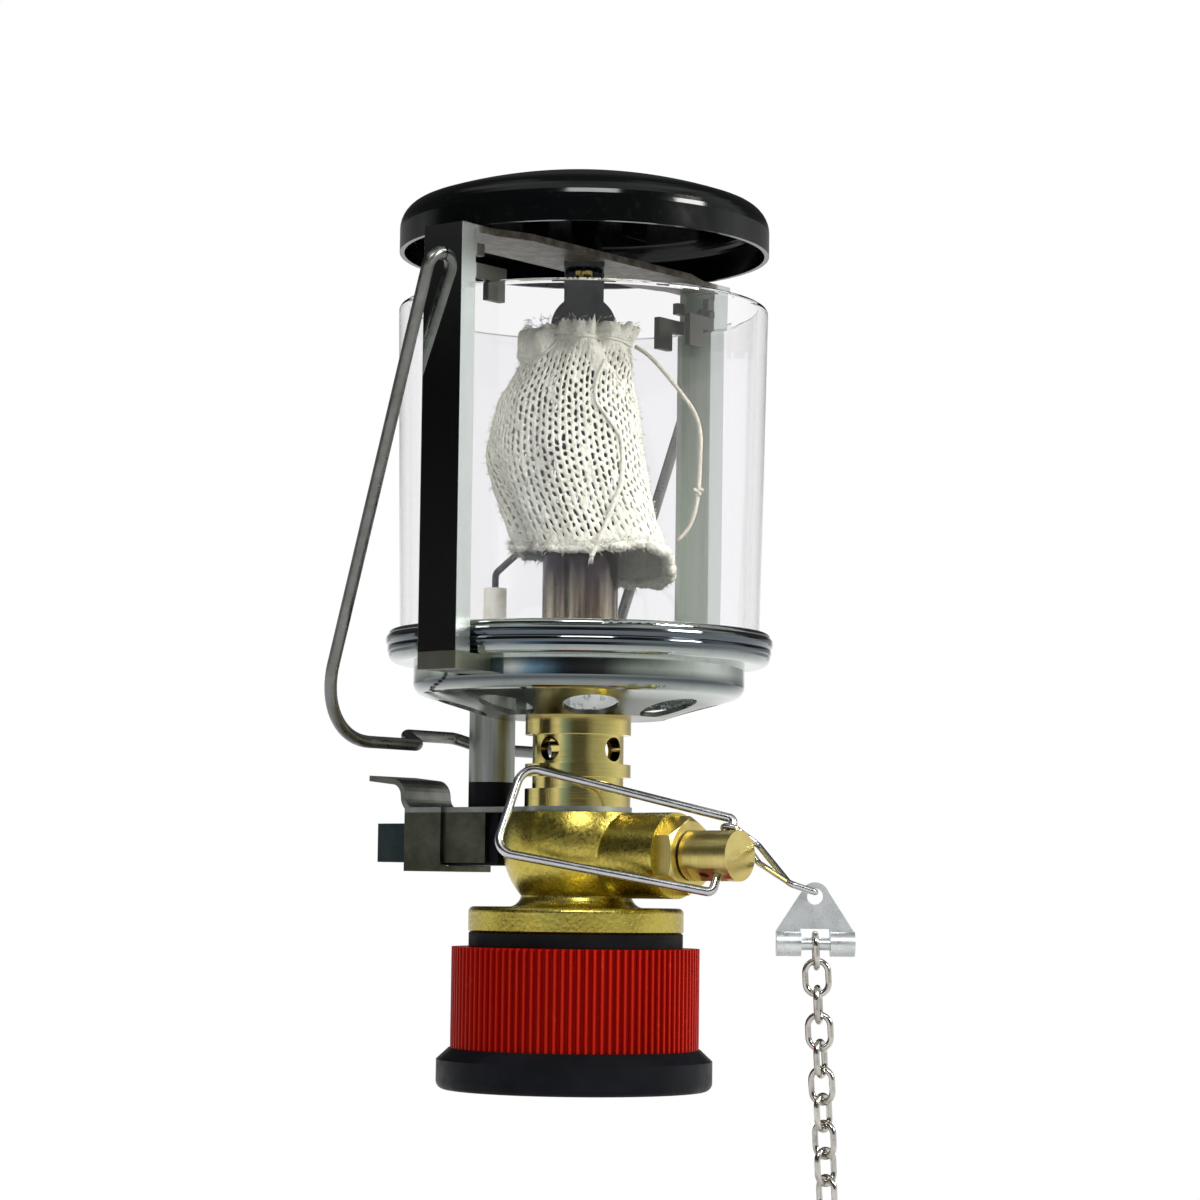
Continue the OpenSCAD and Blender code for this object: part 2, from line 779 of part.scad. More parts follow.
// Folding wire key, hinged in the spindle's cross hole
module valve_key() {
    pin_in = hinge_dir * (stem_flats / 2 - key_pin_depth);
    at_hinge = hinge_dir * (key_hinge_w - key_wire) / 2;
    at_end = hinge_dir * (key_end_w - key_wire) / 2;
    end_p = hinge_p + arm_dir * key_len;
    color("#d8d8dc")
        wire(
            [
                hinge_p + pin_in, hinge_p + at_hinge, end_p + at_end,
                end_p - at_end, hinge_p - at_hinge, hinge_p - pin_in,
            ],
            key_wire, [1, 3, 3, 1]
        );
}

// Link from the key's hinge to the chain plate: an eye and two strands that pass behind the spindle
module chain_link_wire() {
    tip_side = link_half * [sin(face_turn), -cos(face_turn), 0];
    eye = hinge_p + hinge_dir * eye_off;
    passes = [
        for (p = link_passes)
            [stem_end_x - p.x, link_pass * cos(p.y), stem_z + link_pass * sin(p.y)]
    ];
    color("#cfcfd4") {
        placed(eye, hinge_dir, [1, 0, 0])
            rotate_extrude()
                translate([eye_r, 0])
                    circle(d = link_wire + 2 * bend_swell, $fn = 24);
        wire(
            [
                eye + [eye_r, 0, 0], passes[0], link_tip + link_knee - tip_side, link_tip - tip_side,
                link_tip + tip_side, link_tip + link_knee + tip_side, passes[1], passes[2],
                eye - fold_side * eye_r,
            ],
            link_wire,
            [
                link_bend, link_bend, link_tight_bend, link_tight_bend, link_bend, link_bend, link_bend,
            ]
        );
    }
}

// Children moved to the link's tip, facing the chain plate's way
module at_tag() {
    translate(link_tip) rotate([0, 0, face_turn]) children();
}

// Stamped chain plate with two barrels
module chain_plate() {
    flank = [tag_apex_r * cos(tag_flank), tag_apex_r * sin(tag_flank) - tag_drop];
    notch_top_z = barrel_z + barrel_r + notch_gap;
    color("#c4c4c8")
        at_tag()
            difference() {
                union() {
                    translate([0, tag_t / 2, 0])
                        rotate([90, 0, 0])
                            linear_extrude(tag_t)
                                difference() {
                                    union() {
                                        translate([0, -tag_drop]) circle(r = tag_apex_r);
                                        polygon([
                                            [-flank.x, flank.y], flank,
                                            [tag_w / 2, barrel_z + barrel_r], [tag_w / 2, barrel_z],
                                            [-tag_w / 2, barrel_z], [-tag_w / 2, barrel_z + barrel_r],
                                        ]);
                                    }
                                    translate([0, -tag_drop]) circle(d = tag_hole_d, $fn = 32);
                                }
                    translate([-tag_w / 2, barrel_y, barrel_z])
                        rotate([0, 90, 0])
                            cylinder(h = tag_w, r = barrel_r, $fn = 48);
                }
                translate([-tag_w, barrel_y, barrel_z])
                    rotate([0, 90, 0])
                        cylinder(h = 2 * tag_w, d = barrel_bore, $fn = 48);
                box([-notch_w / 2, -barrel_d, barrel_z - barrel_d], [notch_w / 2, barrel_d, notch_top_z]);
            }
}

// Pin through the barrels, which the chain hangs on
module chain_pin() {
    color("#b8b8bc")
        at_tag()
            translate([-tag_w / 2, barrel_y, barrel_z])
                rotate([0, 90, 0])
                    cylinder(h = tag_w, d = tag_pin_d, $fn = 48);
}

// One chain link in the YZ plane, centred
module chain_ring() {
    half = link_straight / 2;
    for (side = [-1, 1]) {
        translate([0, side * link_bend_r, -half]) cylinder(h = link_straight, d = chain_wire, $fn = 24);
        translate([0, 0, side * half])
            rotate([0, 90, 0])
                rotate([0, 0, side > 0 ? 90 : -90])
                    rotate_extrude(angle = 180)
                        translate([link_bend_r, 0])
                            circle(d = chain_wire, $fn = 24);
    }
}

// Children moved to the pin and leaning as the chain hangs
module at_chain() {
    at_tag()
        translate([0, barrel_y, barrel_z])
            rotate([0, -chain_lean, 0])
                children();
}

// Chain of closed links
module chain() {
    color("#bcbcc0")
        at_chain()
            for (i = [0:chain_links - 1])
                translate([0, 0, -first_link_drop - i * chain_pitch])
                    rotate([0, 0, i * chain_twist])
                        chain_ring();
}

// Hook at the free end of the chain
module chain_hook() {
    last_z = -first_link_drop - (chain_links - 1) * chain_pitch;
    top_z = last_z - chain_link_len / 2 + chain_wire + run_fit;
    color("#bcbcc0")
        at_chain()
            rotate([0, 0, chain_links * chain_twist])
                translate([0, 0, top_z - hook_r + hook_wire])
                    rotate([0, 90, 0]) {
                        rotate_extrude()
                            translate([hook_r - hook_wire / 2, 0])
                                circle(d = hook_wire, $fn = 24);
                    }
}

// Gas jet on top of the valve body
module gas_jet() {
    seat_z = body_top_z + top_boss_h - jet_seat_depth;
    color("#d2ae58")
        translate([0, 0, seat_z])
            difference() {
                union() {
                    cylinder(h = jet_seat_depth, d = jet_d);
                    translate([0, 0, jet_seat_depth])
                        cylinder(h = jet_h - jet_seat_depth, d1 = jet_base_d, d2 = jet_tip_d);
                }
                translate([0, 0, -eps]) cylinder(h = jet_h - jet_tip_t, d = gas_bore_d);
                cylinder(h = jet_h + eps, d = jet_hole_d, $fn = 24);
            }
}

// Turned neck where gas and air mix, brass
module neck() {
    collar_r = collar_d / 2;
    tube_r = neck_d / 2;
    color("#cda85a")
        difference() {
            rotate_extrude()
                polygon([
                    [0, neck_z], [collar_r, neck_z], [collar_r, neck_z + collar_low_h],
                    [tube_r, neck_z + collar_low_h], [tube_r, collar_mid_z],
                    [collar_r, collar_mid_z], [collar_r, collar_mid_z + collar_mid_h],
                    [tube_r, collar_mid_z + collar_mid_h], [tube_r, floor_z - collar_top_h],
                    [collar_r, floor_z - collar_top_h], [collar_r, floor_z], [0, floor_z],
                ]);
            translate([0, 0, neck_z - eps]) cylinder(h = neck_h, r = top_boss_r + seat_fit);
            translate([0, 0, neck_z + collar_low_h]) cylinder(h = neck_h, r = neck_bore_r);
            translate([0, 0, burner_z]) cylinder(h = neck_h, r = burner_r + seat_fit);
            for (turn = [0, 90])
                translate([0, 0, air_hole_z])
                    rotate([90, 0, turn])
                        cylinder(h = 2 * collar_d, d = air_hole_d, center = true, $fn = 48);
        }
}

// Outline of the finger rest, as a strip of sheet along X
module rest_outline() {
    outer_r = rest_bend_r + bracket_t;
    high_x = rest_x - rest_bend_r - outer_r;
    high_z = rest_rise - rest_bend_r;
    tip_z = high_z + outer_r + rest_slope;
    polygon(concat(
        [[rest_x + rest_lap, 0], [rest_x + rest_lap, bracket_t]],
        arc(rest_x, outer_r, rest_bend_r, 270, 180, 6),
        arc(high_x, high_z, outer_r, 0, 90, 6),
        [[high_x - rest_reach, tip_z], [high_x - rest_reach, tip_z - bracket_t]],
        arc(high_x, high_z, rest_bend_r, 90, 0, 6),
        arc(rest_x, outer_r, outer_r, 180, 270, 6)
    ));
}

// Sheet bracket clamped under the neck: plate, side plates, clip and finger rest
module igniter_bracket() {
    in_y = piezo_w / 2 + run_fit;
    out_y = in_y + bracket_t;
    color("#4a4a48")
        difference() {
            union() {
                translate([0, 0, body_top_z]) cylinder(h = bracket_t, r = bracket_ring_r);
                box([clip_end_x, -out_y, body_top_z], [0, out_y, plate_top_z]);
                for (side = [-1, 1]) {
                    translate([0, side * (in_y + out_y) / 2, 0])
                        box(
                            [clip_end_x + clip_len - eps, -(out_y - in_y) / 2, piezo_low_z + side_plate_rise],
                            [clip_end_x + clip_len + side_plate_len, (out_y - in_y) / 2, plate_top_z]
                        );
                    translate([0, side * (in_y + out_y + clip_swell) / 2, 0])
                        box(
                            [clip_end_x, -(out_y + clip_swell - in_y) / 2, piezo_low_z - clip_foot],
                            [clip_end_x + clip_len, (out_y + clip_swell - in_y) / 2, plate_top_z]
                        );
                }
                box(
                    [clip_end_x, -out_y - clip_swell, piezo_low_z - clip_foot],
                    [clip_end_x + clip_len, out_y + clip_swell, piezo_low_z - run_fit]
                );
                translate([0, out_y, body_top_z])
                    rotate([90, 0, 0])
                        linear_extrude(2 * out_y)
                            rest_outline();
            }
            translate([0, 0, body_top_z - eps]) cylinder(h = bracket_t + 2 * eps, r = top_boss_r + seat_fit);
            translate([-igniter_x, 0, body_top_z - eps]) cylinder(h = bracket_t + 2 * eps, d = lead_d + 2 * run_fit);
        }
}

// Piezo unit with the button's well, black
module piezo_unit() {
    well_x = clip_end_x + button_depth + button_travel + free_gap;
    color("#1d1d1f")
        difference() {
            box([piezo_end_x, -piezo_w / 2, piezo_low_z], [piezo_x, piezo_w / 2, piezo_top_z]);
            box(
                [piezo_end_x - eps, -button_w / 2 - free_gap, button_z - free_gap],
                [well_x, button_w / 2 + free_gap, button_z + button_h + free_gap]
            );
        }
}

// Push button
module piezo_button() {
    color("#4b5560")
        box([button_end_x, -button_w / 2, button_z], [clip_end_x + button_depth, button_w / 2, button_z + button_h]);
}

// Black sleeve under the igniter tube
module igniter_sleeve() {
    color("#222224")
        translate([-igniter_x, 0, plate_top_z])
            difference() {
                cylinder(h = sleeve_h, d = igniter_tube_d);
                translate([0, 0, -eps]) cylinder(h = sleeve_h + 2 * eps, d = lead_d + 2 * run_fit);
            }
}

// Igniter tube up through one vent of the pan, satin grey
module igniter_tube() {
    color("#9a9a98")
        translate([-igniter_x, 0, sleeve_top_z])
            difference() {
                cylinder(h = igniter_top_z - sleeve_top_z, d = igniter_tube_d);
                translate([0, 0, -eps]) cylinder(h = neck_h + pan_depth, d = ceramic_d + 2 * seat_fit);
            }
}

// Lead from the piezo unit to the electrode
module ignition_lead() {
    color("#303030")
        translate([-igniter_x, 0, piezo_top_z])
            cylinder(h = ceramic_z - piezo_top_z, d = lead_d);
}

// Ceramic insulator, white
module ceramic_insulator() {
    color("#e9e4d8")
        translate([-igniter_x, 0, ceramic_z])
            difference() {
                cylinder(h = ceramic_top_z - ceramic_z, d = ceramic_d);
                translate([0, 0, -eps]) cylinder(h = ceramic_top_z, d = electrode_d + 2 * seat_fit, $fn = 32);
            }
}

// Electrode, bent toward the burner
module electrode() {
    root = [-igniter_x, 0, ceramic_z];
    corner = [-igniter_x, 0, ceramic_top_z + electrode_rise];
    color("#3a3836")
        wire([root, corner, corner + electrode_reach], electrode_d, [1.4]);
}

// Points of a swell that stands out from a wall of radius r between two heights
function swell(r, z0, z1, depth) =
    let (
        half = (z1 - z0) / 2,
        big = (half * half + depth * depth) / (2 * depth),
        spread = asin(half / big)
    )
    arc(r + depth - big, z0 + half, big, -spread, spread, 8);

// Outer or inner outline of the pan, set in by the sheet's thickness
module pan_outline(inset) {
    low_z = floor_z + inset;
    shelf_z = ledge_z + inset;
    top_z = rim_top_z - bead_r + 2 * inset;
    corner = [pan_band_r - pan_corner_r, floor_z + pan_cone_h + pan_corner_r];
    rim_corner = [rim_wall_r - pan_rim_corner_r, ledge_z + pan_rim_corner_r];
    groove_z = rim_corner.y + rim_groove * (top_z - rim_corner.y);
    wall = [[rim_wall_r - inset, top_z]];
    polygon(concat(
        [[0, low_z], [pan_floor_r, low_z]],
        arc(corner.x, corner.y, pan_corner_r - inset, -70, 0, 6),
        [[pan_band_r - inset, shelf_z]],
        arc(rim_corner.x, rim_corner.y, pan_rim_corner_r - inset, -90, 0, 6),
        inset > 0 ? wall : concat(
            swell(rim_wall_r, rim_corner.y + eps, groove_z, rim_swell * rim_groove),
            swell(rim_wall_r, groove_z + eps, top_z, rim_swell)
        ),
        [[0, top_z]]
    ));
}

// Pan that holds the glass, with vents and a rolled rim, bright plated
module pan() {
    color("#c9cbd0")
        difference() {
            union() {
                difference() {
                    rotate_extrude() pan_outline(0);
                    rotate_extrude() pan_outline(pan_t);
                }
                translate([0, 0, rim_top_z - bead_r])
                    rotate_extrude()
                        translate([rim_wall_r - bead_r, 0])
                            circle(r = bead_r, $fn = 32);
            }
            translate([0, 0, floor_z - eps]) cylinder(h = pan_depth, r = burner_r + seat_fit);
            for (i = [0:vent_count - 1])
                rotate([0, 0, i * 360 / vent_count])
                    translate([igniter_x, 0, floor_z - eps])
                        cylinder(h = pan_depth, d = vent_d, $fn = 48);
        }
}

// Nut that clamps the pan on the burner tube
module burner_nut() {
    color("#9c9c9a")
        translate([0, 0, floor_z + pan_t])
            difference() {
                cylinder(h = burner_nut_t, d = burner_nut_d, $fn = 6);
                translate([0, 0, -eps]) cylinder(h = burner_nut_t + 2 * eps, r = burner_r + seat_fit);
            }
}

// Burner tube, heat-tinted steel
module burner_tube() {
    color("#7d6a52")
        translate([0, 0, burner_z])
            difference() {
                cylinder(h = burner_top_z - burner_z, r = burner_r);
                translate([0, 0, -eps]) cylinder(h = burner_top_z, r = burner_r - burner_wall);
            }
}

// Gauze disc inside the mouth of the burner tube
module burner_gauze() {
    gauze_r = burner_r - burner_wall - seat_fit;
    hole_pitch = gauze_r / 3;
    color("#5c5852")
        translate([0, 0, burner_top_z - gauze_inset])
            difference() {
                cylinder(h = gauze_t, r = gauze_r);
                for (ring = [1, 2], i = [0:6 * ring - 1])
                    rotate([0, 0, i * 60 / ring])
                        translate([ring * hole_pitch, 0, -eps])
                            cylinder(h = gauze_t + 2 * eps, d = hole_pitch * gauze_hole_share, $fn = 16);
            }
}

// Place on the mantle at row step s and angle a, on its outer or inner face
function mantle_point(s, a, inset) =
    let (
        i = min(floor(s), len(mantle_rows) - 2),
        t = s - i,
        drop = blend(mantle_rows, 0, i, t) * mantle_h,
        lean = blend(mantle_rows, 1, i, t) * mantle_w,
        half_w = blend(mantle_rows, 2, i, t) * mantle_w / 2 - inset,
        half_d = blend(mantle_rows, 3, i, t) * mantle_w / 2 - inset,
        slant = blend(mantle_rows, 4, i, t) * mantle_w,
        fold = 1 + fold_depth * (1 - fold_fade * s / len(mantle_rows)) * cos(mantle_folds * a + fold_twist * s)
    )
    [
        lean + half_w * fold * cos(a),
        half_d * fold * sin(a),
        mantle_top_z - drop - slant * cos(a),
    ];

// Soft mantle: an open bag with gathered folds, off-white
module mantle() {
    steps = mantle_steps;
    ring = mantle_sides;
    row_step = (len(mantle_rows) - 1) / steps;
    outer = [for (k = [0:steps], j = [0:ring - 1]) mantle_point(k * row_step, j * 360 / ring, 0)];
    inner = [for (k = [0:steps], j = [0:ring - 1]) mantle_point(k * row_step, j * 360 / ring, cloth_t)];
    off = len(outer);
    function near(k, j) = k * ring + j % ring;
    function far(k, j) = off + near(k, j);
    color("#f3f0e6")
        rotate([0, 0, face_turn])
            polyhedron(concat(outer, inner), concat(
                [for (k = [0:steps - 1], j = [0:ring - 1]) [near(k, j), near(k, j + 1), near(k + 1, j + 1)]],
                [for (k = [0:steps - 1], j = [0:ring - 1]) [near(k, j), near(k + 1, j + 1), near(k + 1, j)]],
                [for (k = [0:steps - 1], j = [0:ring - 1]) [far(k, j), far(k + 1, j + 1), far(k, j + 1)]],
                [for (k = [0:steps - 1], j = [0:ring - 1]) [far(k, j), far(k + 1, j), far(k + 1, j + 1)]],
                [for (j = [0:ring - 1]) [near(0, j), far(0, j), far(0, j + 1)]],
                [for (j = [0:ring - 1]) [near(0, j), far(0, j + 1), near(0, j + 1)]],
                [for (j = [0:ring - 1]) [near(steps, j), far(steps, j + 1), far(steps, j)]],
                [for (j = [0:ring - 1]) [near(steps, j), near(steps, j + 1), far(steps, j + 1)]]
            ));
}

// Sheet hanger under the strap: tab, stem and round plate with a tie hole
module mantle_holder() {
    plate_z = mantle_top_z + holder_gap;
    half = holder_stem_w / 2;
    color("#6a6660")
        rotate([0, 0, face_turn])
            difference() {
                union() {
                    box(
                        [-half, -half, strap_low_z - holder_t],
                        [half, holder_y + holder_t, strap_low_z]
                    );
                    box([-half, holder_y, plate_z], [half, holder_y + holder_t, strap_low_z]);
                    translate([0, holder_y + holder_t, plate_z])
                        rotate([90, 0, 0])
                            cylinder(h = holder_t, d = holder_d);
                }
                translate([0, 0, strap_low_z - holder_t - eps])
                    cylinder(h = holder_t + 2 * eps, d = stud_d + 2 * seat_fit);
                translate([tie_x, 0, plate_z]) rotate([-90, 0, 0]) cylinder(h = holder_d, d = tie_hole_d, $fn = 24);
            }
}

// Tie string that trails from the mantle's neck
module mantle_string() {
    sides = 8;
    n = len(string_route);
    function along(i) = unit(string_route[min(i + 1, n - 1)] - string_route[max(i - 1, 0)]);
    function across(i) = unit(cross(along(i), [0, 1, 0]));
    function place(i, j) =
        let (u = across(i), w = cross(along(i), u), a = j * 360 / sides)
        string_route[i] + string_d / 2 * (u * cos(a) + w * sin(a));
    pts = [for (i = [0:n - 1], j = [0:sides - 1]) place(i, j)];
    function at(i, j) = i * sides + j % sides;
    color("#e4e0d4")
        rotate([0, 0, face_turn])
            polyhedron(pts, concat(
                [for (i = [0:n - 2], j = [0:sides - 1]) [at(i, j), at(i + 1, j + 1), at(i, j + 1)]],
                [for (i = [0:n - 2], j = [0:sides - 1]) [at(i, j), at(i + 1, j), at(i + 1, j + 1)]],
                [[for (j = [0:sides - 1]) at(0, j)]],
                [[for (j = [sides - 1:-1:0]) at(n - 1, j)]]
            ));
}

// Glass globe, a slightly flared tube
module glass_globe() {
    foot_out = glass_foot_d / 2;
    top_out = glass_top_d / 2;
    color("#dfeaf0", 0.35)
        rotate_extrude()
            polygon(concat(
                [[foot_out - glass_wall, glass_z], [foot_out, glass_z]],
                arc(top_out - lip_r, glass_top_z - lip_r, lip_r, 0, 180, 8)
            ));
}

// Frame bent from one strip: strap, two channel posts, feet and glass tabs
module frame() {
    half = post_w / 2;
    tab_z = glass_top_z + free_gap;
    color("#b9bcc2")
        difference() {
            union() {
                translate([0, 0, strap_low_z])
                    linear_extrude(frame_t)
                        polygon([
                            for (s = [1, -1], p = [
                                [half, -post_y], [half, -strap_taper_y], [strap_w / 2, -strap_wide_y],
                                [strap_w / 2, strap_wide_y], [half, strap_taper_y], [half, post_y],
                            ]) s * p
                        ]);
                for (turn = [0, 180])
                    rotate([0, 0, turn]) {
                        box([-half, post_y - frame_t, foot_z], [half, post_y, strap_z]);
                        box([-half, pan_band_r - foot_lap, foot_z], [half, post_y, foot_z + frame_t]);
                        for (edge = [-half, half - frame_t]) {
                            box([edge, post_in_y, foot_z], [edge + frame_t, post_y, strap_z]);
                            box([edge, pan_band_r - foot_lap, foot_z], [edge + frame_t, post_y, ledge_z]);
                            box([edge, hook_y - hook_w, tab_z], [edge + frame_t, post_y, tab_z + tab_h]);
                            box(
                                [edge, hook_y - hook_w, glass_top_z - hook_drop],
                                [edge + frame_t, hook_y, tab_z + tab_h]
                            );
                            box(
                                [edge, post_in_y - lug_len, glass_top_z + lug_rise],
                                [edge + frame_t, post_y, glass_top_z + lug_rise + lug_h]
                            );
                        }
                    }
            }
            translate([0, 0, foot_z - eps]) cylinder(h = foot_drop + 2 * eps, r = pan_band_r + seat_fit);
            translate([0, 0, pivot_z])
                rotate([90, 0, 0])
                    cylinder(h = 2 * frame_w, d = pivot_hole_d, center = true, $fn = 48);
            translate([0, 0, strap_low_z - eps]) cylinder(h = 2 * frame_t, d = stud_d + 2 * seat_fit, $fn = 32);
        }
}

// Place on the bail: across, down its plane, and out of its plane
function bail_place(s, t, w) = [0, s, pivot_z] + bail_down * t + bail_out * w;

// Wire bail, hooked into the posts and kinked to hang from a hook
module bail() {
    foot_half = bail_half - bail_taper;
    color("#6f6f66")
        wire(
            [
                bail_place(-bail_pin_end, 0, 0), bail_place(-bail_half, 0, 0), bail_place(-foot_half, bail_len, 0),
                bail_place(-kink_half, bail_len, 0), bail_place(-kink_top_half, bail_len, kink_h),
                bail_place(kink_top_half, bail_len, kink_h), bail_place(kink_half, bail_len, 0),
                bail_place(foot_half, bail_len, 0), bail_place(bail_half, 0, 0), bail_place(bail_pin_end, 0, 0),
            ],
            bail_wire, bail_bends
        );
}

// Radius of the hood's dome for a given shell offset
function dome_r(r, rise, shoulder) =
    let (a = r - shoulder) (a * a + rise * rise - shoulder * shoulder) / (2 * (rise - shoulder));

// Outline of the hood, set in by the sheet's thickness
module hood_outline(inset) {
    r = hood_r - inset;
    shoulder = hood_shoulder_r - inset;
    rise = hood_h - hood_band - inset;
    big = dome_r(r, rise, shoulder);
    top = hood_top_z - inset;
    spread = asin((r - shoulder) / (big - shoulder));
    polygon(concat(
        [[0, hood_z - 2 * inset], [r, hood_z - 2 * inset]],
        arc(r - shoulder, hood_z + hood_band, shoulder, 0, 90 - spread, 8),
        arc(0, top - big, big, 90 - spread, 90, 16)
    ));
}

// Pressed hood, black enamel
module hood() {
    color("#0e0e10")
        difference() {
            rotate_extrude($fn = 96) hood_outline(0);
            rotate_extrude($fn = 96) hood_outline(hood_t);
        }
}

// Height of the hood's inner face at a distance from its axis
function hood_inner_z(x) =
    let (
        r = hood_r - hood_t,
        shoulder = hood_shoulder_r - hood_t,
        big = dome_r(r, hood_h - hood_band - hood_t, shoulder)
    )
    hood_top_z - hood_t - big + sqrt(big * big - x * x);

spider_z = hood_inner_z(norm([spider_half, spider_w / 2])) - seat_fit - spider_t;

// Strip inside the hood with two turned-down legs, black
module cap_spider() {
    color("#18181a")
        difference() {
            union() {
                box([-spider_half, -spider_w / 2, spider_z], [spider_half, spider_w / 2, spider_z + spider_t]);
                for (side = [-1, 1])
                    translate([side * (spider_half - spider_t / 2), 0, 0])
                        box(
                            [-spider_t / 2, -spider_w / 2, spider_z - spider_leg],
                            [spider_t / 2, spider_w / 2, spider_z + spider_t]
                        );
            }
            translate([0, 0, spider_z - eps]) cylinder(h = spider_t + 2 * eps, d = stud_d + 2 * seat_fit, $fn = 32);
        }
}

// Bell spacer between the strap and the strip in the hood, black
module cap_spacer() {
    color("#141416")
        difference() {
            union() {
                translate([0, 0, strap_z]) cylinder(h = spider_z - strap_z, r = spacer_r);
                translate([0, 0, strap_z]) cylinder(h = spacer_bell_h, r1 = spacer_bell_r, r2 = spacer_r);
            }
            translate([0, 0, strap_z - eps]) cylinder(h = hood_h, d = stud_d + 2 * seat_fit, $fn = 32);
        }
}

// Stud from the hood down through the strap, brass
module cap_stud() {
    stud_low_z = strap_low_z - holder_t - star_t - stud_end;
    color("#c6a04c")
        translate([0, 0, stud_low_z])
            cylinder(h = hood_inner_z(stud_d / 2) - seat_fit - stud_low_z, d = stud_d, $fn = 32);
}

// Toothed push-on washer that holds the stud under the mantle holder, black
module star_washer() {
    color("#151517")
        translate([0, 0, strap_low_z - holder_t - star_t])
            linear_extrude(star_t)
                difference() {
                    union() {
                        circle(r = star_core_r, $fn = 48);
                        for (i = [0:star_teeth - 1])
                            rotate(i * 360 / star_teeth)
                                polygon([
                                    [0, -tooth_root / 2], [star_r, -tooth_tip / 2],
                                    [star_r, tooth_tip / 2], [0, tooth_root / 2],
                                ]);
                    }
                    circle(d = stud_d + 2 * seat_fit, $fn = 32);
                }
}

foot_ring();
grip_ring();
thread_hub();
flange_washer();
valve_body();
inlet_oring();
depressor_pin();
retaining_clip();
gland_nut();
spindle_oring();
valve_spindle();
valve_key();
chain_link_wire();
chain_plate();
chain_pin();
chain();
chain_hook();
gas_jet();
neck();
igniter_bracket();
piezo_unit();
piezo_button();
igniter_sleeve();
igniter_tube();
ignition_lead();
ceramic_insulator();
electrode();
pan();
burner_nut();
burner_tube();
burner_gauze();
mantle();
mantle_holder();
mantle_string();
glass_globe();
frame();
bail();
cap_spacer();
cap_stud();
cap_spider();
star_washer();
hood();
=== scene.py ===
import bisect
import math
import random

import bmesh
import bpy
from mathutils import Matrix, Vector, noise


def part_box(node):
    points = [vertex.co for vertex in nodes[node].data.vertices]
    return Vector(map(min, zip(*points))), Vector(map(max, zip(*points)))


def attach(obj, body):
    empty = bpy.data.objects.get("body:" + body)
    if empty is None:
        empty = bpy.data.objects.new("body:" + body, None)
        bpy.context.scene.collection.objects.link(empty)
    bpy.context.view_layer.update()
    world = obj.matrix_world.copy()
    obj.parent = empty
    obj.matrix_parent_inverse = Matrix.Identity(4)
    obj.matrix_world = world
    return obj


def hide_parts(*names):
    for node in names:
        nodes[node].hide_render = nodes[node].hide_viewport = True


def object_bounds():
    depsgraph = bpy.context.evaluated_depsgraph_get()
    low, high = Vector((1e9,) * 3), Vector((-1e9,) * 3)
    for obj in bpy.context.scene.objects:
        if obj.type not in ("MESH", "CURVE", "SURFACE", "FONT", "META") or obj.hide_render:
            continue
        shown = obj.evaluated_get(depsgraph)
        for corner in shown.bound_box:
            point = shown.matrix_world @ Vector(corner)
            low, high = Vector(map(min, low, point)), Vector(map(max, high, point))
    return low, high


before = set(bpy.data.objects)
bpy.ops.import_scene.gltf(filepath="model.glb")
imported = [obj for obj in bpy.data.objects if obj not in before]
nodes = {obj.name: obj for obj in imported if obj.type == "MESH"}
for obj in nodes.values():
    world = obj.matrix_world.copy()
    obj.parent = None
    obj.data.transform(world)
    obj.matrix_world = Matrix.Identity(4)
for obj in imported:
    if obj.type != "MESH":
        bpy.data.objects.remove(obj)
cad_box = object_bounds()
scene = bpy.context.scene
scene.view_settings.view_transform = "Standard"

MM = 0.001
# The side of the lantern that the camera and the mantle face, as a turn about the vertical
FACE = math.radians(39)
TURN = Matrix.Rotation(FACE, 3, "Z")
RIGHT = Vector((math.cos(FACE), math.sin(FACE), 0))
TOWARD = Vector((math.sin(FACE), -math.cos(FACE), 0))

# Camera: distance, height and clipping in metres, turns in degrees, lens and sensor in millimetres
CAMERA_AWAY, CAMERA_HEIGHT = 0.5724, 0.0328
CAMERA_YAW, CAMERA_PITCH, CAMERA_ROLL = -0.342, 95.03, 0.7
CLIP_NEAR, CLIP_FAR = 0.01, 50
LENS, SENSOR = 100.62, 36


def make_camera():
    data = bpy.data.cameras.new("camera")
    data.sensor_width = SENSOR
    data.lens = LENS
    data.clip_start = CLIP_NEAR
    data.clip_end = CLIP_FAR
    camera = bpy.data.objects.new("camera", data)
    scene.collection.objects.link(camera)
    camera.location = TOWARD * CAMERA_AWAY + Vector((0, 0, CAMERA_HEIGHT))
    yaw = Matrix.Rotation(FACE + math.radians(CAMERA_YAW), 3, "Z")
    pitch = Matrix.Rotation(math.radians(CAMERA_PITCH), 3, "X")
    roll = Matrix.Rotation(math.radians(CAMERA_ROLL), 3, "Z")
    camera.rotation_euler = (yaw @ pitch @ roll).to_euler()
    scene.camera = camera


make_camera()


# Mesh helpers
def circle_angles(count):
    return [2 * math.pi * i / count for i in range(count)]


